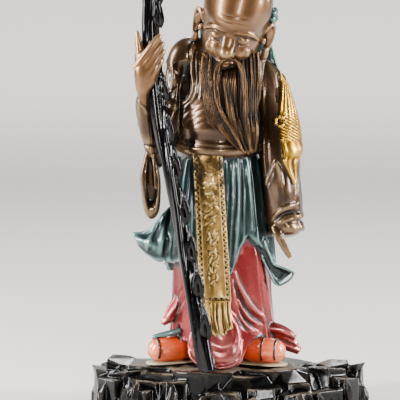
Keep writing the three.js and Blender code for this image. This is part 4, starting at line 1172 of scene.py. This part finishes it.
def knot_forms(share):
    """A drop of root: a thin strand above, and one that swells as it hangs and hooks back under a hollow."""
    reach = 7 + 2.5 * share
    x, y, z = along(STAFF_PATH, share)
    drop = [
        (x + 3, y - 4, z + 19, 1.4, 1.6),
        (x + reach - 0.5, y - 5.5, z + 8, 2.2, 2.6),
        (x + reach + 2, y - 5.5, z - 3, 3.0, 3.2),
        (x + reach + 3, y - 5, z - 11, 2.8, 3.0),
        (x + reach + 2.2, y - 4.5, z - 17.5, 1.0, 1.2),
    ]
    strand = [
        (x + 4, y - 5, z + 16, 1.2, 1.6),
        (x + reach - 3.4, y - 7, z + 4, 1.5, 2.0),
        (x + reach - 3, y - 7, z - 8, 1.6, 2.0),
        (x + reach + 1, y - 5, z - 17, 1.0, 1.2),
    ]
    return [limb(drop, 20, 50), limb(strand, 16, 40)]


# Rock: the solid's own crags drawn in a little, with leaf-like shards standing out of them all round.
CHIPS = 80
CHIP_DEPTH = 2.4
ROCK_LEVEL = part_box("rock_base")[1][2] / MM - 4
DRAWN_IN = 3.0
SHARDS = 46
SHARD_SEED, CHIP_SEED = 11, 7
ROCK_FACETS = 1500
CRAG_VOXEL, ROCK_VOXEL = 0.9, 0.8
ROCK_TRIANGLES = 120000
ROCK_HALF_LONG, ROCK_HALF_DEEP = 141, 94
SHARD_ROWS = [(0.0, 0.75, 0.8), (0.35, 1.0, 1.0), (0.7, 0.75, 0.8), (0.92, 0.35, 0.5), (1.0, 0.05, 0.1)]


def drawn_in(points):
    """The rock pulled towards its middle line, so that the shards stay inside its outline."""
    x, y, z = points.T
    reach = np.hypot(x / ROCK_HALF_LONG, y / ROCK_HALF_DEEP)
    share = np.clip(reach, 0, 1) ** 3
    return points - np.column_stack((np.sign(x) * DRAWN_IN * share, np.sign(y) * DRAWN_IN * share, 0 * z))


def shard_forms(points, faces):
    chance = np.random.default_rng(SHARD_SEED)
    skin_tree = BVHTree.FromPolygons(points.tolist(), faces.tolist())
    forms = []
    for k in range(SHARDS):
        turn = TURN * (k + 0.35 * math.sin(2.7 * k)) / SHARDS
        at_ends = abs(math.cos(turn)) ** 2
        foot_z = chance.uniform(0, 14) * (0.4 + 0.6 * at_ends)
        top_z = foot_z + chance.uniform(14, 26) + 8 * at_ends
        top_z = min(top_z, ROCK_LEVEL + 2.5 * at_ends - 1)
        wide = chance.uniform(7, 11) * (1.3 - 0.6 * at_ends)
        deep = chance.uniform(3.4, 6)
        lean = chance.uniform(-5, 5)
        outward = Vector((math.cos(turn), math.sin(turn) * 1.25, 0)).normalized()
        hit = skin_tree.ray_cast(outward * FAR + Vector((0, 0, (foot_z + top_z) / 2)), -outward)[0]
        if hit is None:
            continue
        across = Vector((-outward.y, outward.x, 0))
        rows = []
        for share, broad, thick_share in SHARD_ROWS:
            middle = hit - outward * (1.0 + 5 * share * share) + across * lean * share
            z = foot_z + (top_z - foot_z) * share
            rows.append((middle.x, middle.y, z, wide * broad, deep * thick_share))
        forms.append(limb(rows, 4, 8, front=tuple(outward)))
    return forms


def chipped(points, faces):
    """Small planes cut into the rock, each cell of it tilted its own way, never outwards."""
    chance = np.random.default_rng(CHIP_SEED)
    seeds = points[chance.integers(0, len(points), CHIPS)]
    tilt = chance.normal(0, 0.11, (CHIPS, 3))
    sunk = chance.uniform(0.1, 1, CHIPS)
    stretch = np.array((1, 1, 0.4))
    nearest = np.zeros(len(points), int)
    best = np.full(len(points), np.inf)
    for k, seed in enumerate(seeds):
        far = (((points - seed) * stretch) ** 2).sum(axis=1)
        closer = far < best
        nearest[closer] = k
        best[closer] = far[closer]
    depth = sunk[nearest] * 0.9 + ((points - seeds[nearest]) * tilt[nearest]).sum(axis=1)
    top = ROCK_LEVEL - points[:, 2]
    share = np.clip(top / 6, 0.12, 1) * np.clip(points[:, 2] / 2, 0, 1)
    return points - normals_of(points, faces) * (np.clip(depth, 0, CHIP_DEPTH) * share)[:, None]


def rock_mesh():
    points, faces = triangles_of(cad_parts["rock_base"].data)
    points = points / MM
    shards = shard_forms(points, faces)
    points, faces = melted([(drawn_in(points), faces), *shards], CRAG_VOXEL)
    points = chipped(softened(points, faces, 1), faces)
    points, faces = melted([thinned(points, faces, ROCK_FACETS)], ROCK_VOXEL)
    points = softened(points, faces, 2)
    low, high = (np.array(corner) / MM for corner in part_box("rock_base"))
    points = np.clip(points, low, high)
    points, faces = thinned(points, faces, int(ROCK_TRIANGLES / COARSE**1.5))
    return mesh_of("rock", points - (0, 0, SOLES / MM), faces)


# Colours and shader groups
def colour(code):
    """A linear colour from a hex code of screen values."""
    parts = [int(code[k:k + 2], 16) / 255 for k in (1, 3, 5)]
    return tuple(c / 12.92 if c <= 0.04045 else ((c + 0.055) / 1.055) ** 2.4 for c in parts) + (1.0,)


class Tree:
    """A few short ways to lay out shader nodes."""

    def __init__(self, tree):
        self.tree = tree

    def node(self, kind, inputs=None, **settings):
        made = self.tree.nodes.new(kind)
        for name, value in settings.items():
            setattr(made, name, value)
        for name, value in (inputs or {}).items():
            self.feed(made.inputs[name], value)
        return made

    def feed(self, socket, value):
        """Links a socket, or sets it to a number or to the colour of a hex code."""
        if isinstance(value, bpy.types.NodeSocket):
            self.tree.links.new(value, socket)
        else:
            socket.default_value = colour(value) if isinstance(value, str) else value

    def math(self, operation, a, b=0.0):
        made = self.node("ShaderNodeMath", operation=operation)
        self.feed(made.inputs[0], a)
        self.feed(made.inputs[1], b)
        return made.outputs[0]

    def add(self, a, b):
        return self.math("ADD", a, b)

    def times(self, a, b):
        return self.math("MULTIPLY", a, b)

    def range(self, value, low, high, to_low=0.0, to_high=1.0):
        made = self.node("ShaderNodeMapRange", {
            "Value": value, "From Min": low, "From Max": high, "To Min": to_low, "To Max": to_high,
        })
        made.interpolation_type = "SMOOTHSTEP"
        return made.outputs["Result"]

    def mix(self, share, a, b):
        made = self.node("ShaderNodeMix", {"Factor": share, "A": a, "B": b}, data_type="RGBA")
        return made.outputs["Result"]

    def noise(self, scale, detail, roughness):
        place = self.node("ShaderNodeTexCoord").outputs["Object"]
        inputs = {"Scale": scale, "Detail": detail, "Roughness": roughness, "Vector": place}
        return self.node("ShaderNodeTexNoise", inputs).outputs["Fac"]

    def kept(self, label):
        """What the points of the mesh keep under a label."""
        return self.node("ShaderNodeAttribute", attribute_name=label).outputs["Fac"]

    def height_of(self, output):
        return self.node("ShaderNodeSeparateXYZ", {"Vector": output}).outputs["Z"]

    def surface(self, looks, height, strength, deep):
        """Ends a material in its surface, with a bump as deep as given in millimetres."""
        relief = self.node("ShaderNodeBump", {"Height": height, "Strength": strength, "Distance": deep * MM})
        shader = self.node("ShaderNodeBsdfPrincipled", {**looks, "Normal": relief.outputs["Normal"]})
        self.node("ShaderNodeOutputMaterial", {"Surface": shader.outputs["BSDF"]})


def new_material(name):
    material = bpy.data.materials.new(name)
    material.use_nodes = True
    material.node_tree.nodes.clear()
    return material, Tree(material.node_tree)


def new_group(name, inputs, outputs):
    """A shader group of plain numbers."""
    group = bpy.data.node_groups.new(name, "ShaderNodeTree")
    for label, value in inputs.items():
        socket = group.interface.new_socket(label, in_out="INPUT", socket_type="NodeSocketFloat")
        socket.default_value = value
    for label in outputs:
        group.interface.new_socket(label, in_out="OUTPUT", socket_type="NodeSocketFloat")
    tree = Tree(group)
    return group, tree, tree.node("NodeGroupInput").outputs


HAIR_LINES, HAIR_WANDER, HAIR_WANDER_SCALE = 95.0, 9.0, 55.0
WEAR_AND_SHADE_SCALE, RIPPLE_SCALE, PIT_SCALE = 60.0, 220.0, 1400.0
COAT_ROUGHNESS = 0.12
# How far ridges take their colour, rubbed edges and a painted highlight, and how far hollows take theirs,
# painted shade.
RUB_AND_HIGHLIGHT_SHARE, PAINTED_SHADE_SHARE = 0.55, 0.92


def carving_masks_group():
    """Where the carving is hollow, which takes painted shade, and where it stands proud, which takes rubbed
    edges and a painted highlight, both broken up by noise.
    """
    inputs = {"Hollow Reach": 1.0, "Ridge Reach": 1.0, "Wear And Shade Breakup": 0.5}
    group, tree, given = new_group("carving_masks", inputs, ["Hollow", "Ridge"])
    # Noise that breaks up the rubbed, highlighted ridges and the painted shade in the hollows alike.
    wear_and_shade_breakup = tree.math("SUBTRACT", tree.noise(WEAR_AND_SHADE_SCALE, 6.0, 0.6), 0.5)
    height = tree.add(tree.times(tree.kept("fine_carving"), 1.5), tree.kept("broad_carving"))
    broken_up_height = tree.add(height, tree.times(wear_and_shade_breakup, given["Wear And Shade Breakup"]))
    hollow = tree.range(tree.math("DIVIDE", tree.times(broken_up_height, -1.0), given["Hollow Reach"]), 0.05, 1.0)
    ridge = tree.range(tree.math("DIVIDE", broken_up_height, given["Ridge Reach"]), 0.1, 1.0)
    tree.node("NodeGroupOutput", {"Hollow": hollow, "Ridge": ridge})
    return group


def lacquer_group():
    """Hand-rubbed lacquer: slow mottling of the colour, faint ripples and fine pits for the bump."""
    group, tree, given = new_group("rubbed_lacquer", {"Mottle Scale": 25.0}, ["Mottle", "Height", "Patches"])
    mottle = tree.noise(given["Mottle Scale"], 5.0, 0.62)
    ripple = tree.noise(RIPPLE_SCALE, 3.0, 0.5)
    pit = tree.noise(PIT_SCALE, 2.0, 0.5)
    tree.node("NodeGroupOutput", {
        "Mottle": tree.range(mottle, 0.3, 0.7),
        "Height": tree.add(ripple, tree.times(pit, 0.25)),
        "Patches": tree.range(mottle, 0.4, 0.6),
    })
    return group


MASKS = carving_masks_group()
LACQUER = lacquer_group()


def hair_lines(tree):
    """Fine lines along the beard, for the bump."""
    wander = tree.times(tree.noise(HAIR_WANDER_SCALE, 2.0, 0.5), HAIR_WANDER)
    return tree.math("SINE", tree.add(tree.times(tree.kept("across_beard"), HAIR_LINES), wander))


def lacquer(name, body, ridge, hollow, tint, metallic, roughness, coat=0.3, bump_height=0.06, ridge_reach=1.5,
            hollow_reach=1.7, wear_and_shade_breakup=0.5, hair=False, wash=None, shine=0.4, mottle=25.0):
    """Lacquer over carving: its body colour, a ridge colour for rubbed edges and a painted highlight, a
    hollow colour that is painted shade, and a second tint.

    A wash is a colour, the height where it starts, the height where it is full, and its strength.
    """
    material, tree = new_material(name)
    reaches = {"Hollow Reach": hollow_reach, "Ridge Reach": ridge_reach, "Wear And Shade Breakup": wear_and_shade_breakup}
    masks = tree.node("ShaderNodeGroup", reaches, node_tree=MASKS).outputs
    rubbed = tree.node("ShaderNodeGroup", {"Mottle Scale": mottle}, node_tree=LACQUER).outputs
    base = tree.mix(rubbed["Mottle"], body, tint)
    # Ridges turn lighter: rubbed edges and a painted highlight.
    base = tree.mix(tree.times(masks["Ridge"], RUB_AND_HIGHLIGHT_SHARE), base, ridge)
    # A wash mixes a colour in by height, in patches: on the red skirt a painted highlight with rubbed
    # lacquer, on the sash a darkening towards its top.
    if wash:
        code, start, full, strength = wash
        height = tree.height_of(tree.node("ShaderNodeTexCoord").outputs["Object"])
        share = tree.range(height, start * MM + SOLES, full * MM + SOLES, 0.0, strength)
        base = tree.mix(tree.times(share, rubbed["Patches"]), base, code)
    # Hollows turn near black: painted shade.
    base = tree.mix(tree.times(masks["Hollow"], PAINTED_SHADE_SHARE), base, hollow)
    rough = tree.range(masks["Hollow"], 0.0, 1.0, roughness, roughness + 0.3)
    metal = tree.range(masks["Hollow"], 0.0, 1.0, metallic, metallic * 0.25) if metallic else 0.0
    looks = {
        "Base Color": base,
        "Roughness": tree.add(rough, tree.times(rubbed["Mottle"], 0.08)),
        "Metallic": metal,
        "Specular IOR Level": shine,
        "Coat Weight": coat,
        "Coat Roughness": COAT_ROUGHNESS,
    }
    relief = tree.add(rubbed["Height"], hair_lines(tree)) if hair else rubbed["Height"]
    tree.surface(looks, relief, 0.35, bump_height)
    return material


def rock_lacquer():
    """Black lacquer rubbed through to a tawny ground on what faces up, with painted shade in its hollows."""
    material, tree = new_material("black_rock_lacquer")
    masks = tree.node("ShaderNodeGroup", {"Wear And Shade Breakup": 1.2}, node_tree=MASKS).outputs
    rubbed = tree.node("ShaderNodeGroup", {"Mottle Scale": 34.0}, node_tree=LACQUER).outputs
    up = tree.range(tree.height_of(tree.node("ShaderNodeNewGeometry").outputs["Normal"]), 0.35, 0.95)
    tawny = tree.times(up, tree.math("POWER", rubbed["Patches"], 1.4))
    # Edges turn lighter: rubbed lacquer and a painted highlight.
    base = tree.mix(tree.times(masks["Ridge"], 0.5), "#020202", "#28231f")
    base = tree.mix(tree.times(tawny, 0.85), base, "#6c6051")
    # Hollows turn near black: painted shade.
    base = tree.mix(masks["Hollow"], base, "#050404")
    rough = tree.range(tawny, 0.0, 1.0, 0.15, 0.6)
    looks = {"Base Color": base, "Roughness": rough, "Specular IOR Level": 0.2}
    tree.surface(looks, rubbed["Height"], 0.3, 0.1)
    return material


# Each lacquer's ridge colour is rubbed edges with a painted highlight, and its hollow colour is painted
# shade.
BRONZE = lacquer("bronze_brown_lacquer", "#442f1c", "#8c7050", "#0a0503", "#2e1e10", 0.8, 0.25, 0.4)
SKIN = lacquer("bronze_skin_lacquer", "#6e4c2c", "#a8855e", "#110804", "#573920", 0.72, 0.27, 0.4,
               ridge_reach=2.6)
BEARD_BRONZE = lacquer("bronze_hair_lacquer", "#2c1d12", "#6e5339", "#050201", "#1f150c", 0.85, 0.3, 0.0,
                       bump_height=0.2, ridge_reach=2.2, hollow_reach=0.8, hair=True, shine=0.2)
TEAL = lacquer("teal_cloth_lacquer", "#123330", "#52857a", "#040a0a", "#0d2624", 0.5, 0.3)
GREEN_LACQUER = lacquer("green_robe_lacquer", "#132829", "#759794", "#020505", "#0d1d1e", 0.6, 0.27, 0.4)
# The red's wash pales the skirt towards the ground: a painted highlight, with lacquer rubbed pale.
RED_LACQUER = lacquer("red_skirt_lacquer", "#8a2325", "#bd6c68", "#150203", "#6c1617", 0.58, 0.22, 0.38,
                      hollow_reach=1.2, wash=("#935650", 42, 8, 0.6))
ORANGE_LACQUER = lacquer("orange_shoe_lacquer", "#dc4a1a", "#fb9468", "#2f0802", "#bf380e", 0.15, 0.22, 0.8)
SOLE_LACQUER = lacquer("pale_sole_lacquer", "#9a8a6f", "#c2b290", "#241c11", "#7a6b50", 0.1, 0.4)
BAND_LACQUER = lacquer("black_band_lacquer", "#090706", "#26211d", "#030202", "#060505", 0.1, 0.22)
GILT = lacquer("gilt_lacquer", "#8f6516", "#e3b848", "#0c0601", "#744c0d", 0.94, 0.25, 0.0,
               ridge_reach=1.3, hollow_reach=0.6, wear_and_shade_breakup=1.0, shine=0.2)
# The sash's wash darkens it towards its top, just under the jacket's hem.
SASH_GILT = lacquer("old_gilt_sash_lacquer", "#ab884a", "#dfc484", "#150c03", "#88672e", 0.84, 0.3, 0.1,
                    ridge_reach=1.0, hollow_reach=0.7, wear_and_shade_breakup=0.9, wash=("#2a1c0c", 130, 190, 0.9), mottle=90.0)
FRINGE_GILT = lacquer("old_gilt_fringe_lacquer", "#7a5e2e", "#c8a866", "#100902", "#5e451f", 0.88, 0.32, 0.0,
                      ridge_reach=1.2, hollow_reach=0.6, wear_and_shade_breakup=0.9, shine=0.2)
STAFF_BLACK = lacquer("black_staff_lacquer", "#030203", "#0c0a10", "#010101", "#050405", 0.0, 0.09, 0.0,
                      shine=0.26)
ROCK_BLACK = rock_lacquer()

# The blocks of the figure: forms, folds, relief, lacquer, voxel size in millimetres, triangles, softening
BRONZE_FORMS = [stack(TORSO, 150, 130)] + staff_sleeve_forms() + lowered_sleeve_forms()
SHOE_FORMS = [limb(shoe_rows(toe, heel), 48, 60, front=UPWARD) for toe, heel, _ in SHOES]
SOLE_FORMS = [sole_form(toe, heel) for toe, heel, _ in SHOES]
BAND_FORMS = [band_form(toe, heel, share) for toe, heel, bands in SHOES for share in bands]
BLOCKS = [
    (BRONZE_FORMS, BRONZE_FOLDS, None, BRONZE, 0.8, 54000, 2),
    (head_forms(), (), head_relief, SKIN, 0.55, 23000, 4),
    (headcloth_forms(), (), None, TEAL, 0.8, 8000, 2),
    (beard_forms(), (), beard_relief, BEARD_BRONZE, 0.5, 38000, 1),
    (hand_forms(), (), None, SKIN, 0.6, 8000, 2),
    (crane_forms(), (), None, GILT, 0.42, 15000, 0),
    (green_forms(), seen_from("front", GREEN_FOLDS), None, GREEN_LACQUER, 0.8, 26000, 3),
    (red_forms(), seen_from("front", RED_FOLDS), None, RED_LACQUER, 0.8, 22000, 3),
    (SHOE_FORMS, (), None, ORANGE_LACQUER, 0.7, 4000, 2),
    (SOLE_FORMS, (), None, SOLE_LACQUER, 0.7, 2000, 1),
    (BAND_FORMS, (), None, BAND_LACQUER, 0.5, 2400, 1),
    ([sheet(carved_sash_point, 110, 440, (0, 5.8, 0))], (), None, SASH_GILT, 0.42, 16000, 0),
    (fringe_forms(), (), None, FRINGE_GILT, 0.5, 7000, 0),
]


def figure_mesh():
    blocks = [
        carved(forms, voxel, budget, rounds, folds, relief)
        for forms, folds, relief, _, voxel, budget, rounds in BLOCKS
    ]
    return united(blocks, [material for _, _, _, material, *_ in BLOCKS])


finished_piece("carved_figure", figure_mesh(), "figure")
staff_mesh = mesh_of("staff", *carved(staff_forms(), STAFF_VOXEL, STAFF_TRIANGLES, STAFF_ROUNDS))
staff_mesh.materials.append(STAFF_BLACK)
finished_piece("carved_staff", staff_mesh, "staff")
stone_mesh = rock_mesh()
stone_mesh.materials.append(ROCK_BLACK)
finished_piece("chipped_rock", stone_mesh, "rock_base")


# Floor, light and camera
STAGE_HALF = 9
SWEEP_START, SWEEP_RADIUS, SWEEP_TOP = 4.5, 3.0, 8.0
CAMERA_AT = (-0.029, 0.0, SOLES + 0.1625)
CAMERA_FAR = 3.2
CAMERA_RISE = math.radians(6)
CAMERA_LENS, SENSOR_WIDE = 288, 36
LIGHT_AIM = (0, 0, 0.28)
SKY_COLOUR, SKY_STRENGTH = (0.8, 0.82, 0.86, 1), 0.05
SOFTBOXES = [
    ("left_softbox", (-1.35, -0.75, 0.75), (0.24, 1.0), 78),
    ("right_softbox", (1.4, -0.35, 0.65), (0.2, 0.9), 50),
    ("front_softbox", (0.35, -2.2, 0.8), (0.12, 0.7), 30),
    ("top_softbox", (0.0, 0.1, 1.7), (0.4, 0.4), 9),
    ("left_back_softbox", (-1.5, 0.35, 0.8), (0.3, 1.0), 42),
    ("right_back_softbox", (1.5, 0.6, 0.7), (0.25, 0.9), 22),
    ("back_softbox", (0.0, 1.7, 1.2), (0.5, 0.5), 12),
]


def floor():
    """A pale floor that curves up behind into a plain backdrop."""
    profile = [(-STAGE_HALF, 0.0), (SWEEP_START, 0.0)]
    for turn in np.linspace(0, TURN / 4, 25)[1:]:
        profile.append((SWEEP_START + SWEEP_RADIUS * math.sin(turn), SWEEP_RADIUS * (1 - math.cos(turn))))
    profile.append((SWEEP_START + SWEEP_RADIUS, SWEEP_TOP))
    points = [(x, y, z) for y, z in profile for x in (-STAGE_HALF, STAGE_HALF)]
    faces = [(2 * k, 2 * k + 1, 2 * k + 3, 2 * k + 2) for k in range(len(profile) - 1)]
    mesh = bpy.data.meshes.new("floor")
    mesh.from_pydata(points, [], faces)
    mesh.shade_smooth()
    made = bpy.data.objects.new("floor", mesh)
    material = bpy.data.materials.new("pale_floor")
    material.use_nodes = True
    surface = material.node_tree.nodes["Principled BSDF"]
    surface.inputs["Base Color"].default_value = colour("#d3d0cb")
    surface.inputs["Roughness"].default_value = 0.8
    mesh.materials.append(material)
    bpy.context.scene.collection.objects.link(made)


def soft_light(name, place, aim, size, power, spread=math.pi):
    light = bpy.data.lights.new(name, "AREA")
    light.shape = "RECTANGLE"
    light.size, light.size_y = size
    light.energy = power
    light.spread = spread
    made = bpy.data.objects.new(name, light)
    made.location = place
    made.rotation_euler = (Vector(aim) - Vector(place)).to_track_quat("-Z", "Y").to_euler()
    bpy.context.scene.collection.objects.link(made)


def studio():
    world = bpy.data.worlds.new("studio")
    world.use_nodes = True
    sky = world.node_tree.nodes["Background"].inputs
    sky["Color"].default_value = SKY_COLOUR
    sky["Strength"].default_value = SKY_STRENGTH
    bpy.context.scene.world = world
    for name, place, size, power in SOFTBOXES:
        soft_light(name, place, LIGHT_AIM, size, power)
    soft_light("backdrop_light", (0.0, 4.8, 7.5), (0, 4.81, 0), (9.0, 4.0), 330, math.radians(60))


def camera():
    data = bpy.data.cameras.new("camera")
    data.lens = CAMERA_LENS
    data.sensor_width = SENSOR_WIDE
    made = bpy.data.objects.new("camera", data)
    away = Vector((0, -math.cos(CAMERA_RISE), math.sin(CAMERA_RISE))) * CAMERA_FAR
    made.location = Vector(CAMERA_AT) + away
    made.rotation_euler = (-away).to_track_quat("-Z", "Y").to_euler()
    bpy.context.scene.collection.objects.link(made)
    bpy.context.scene.camera = made


floor()
studio()
camera()
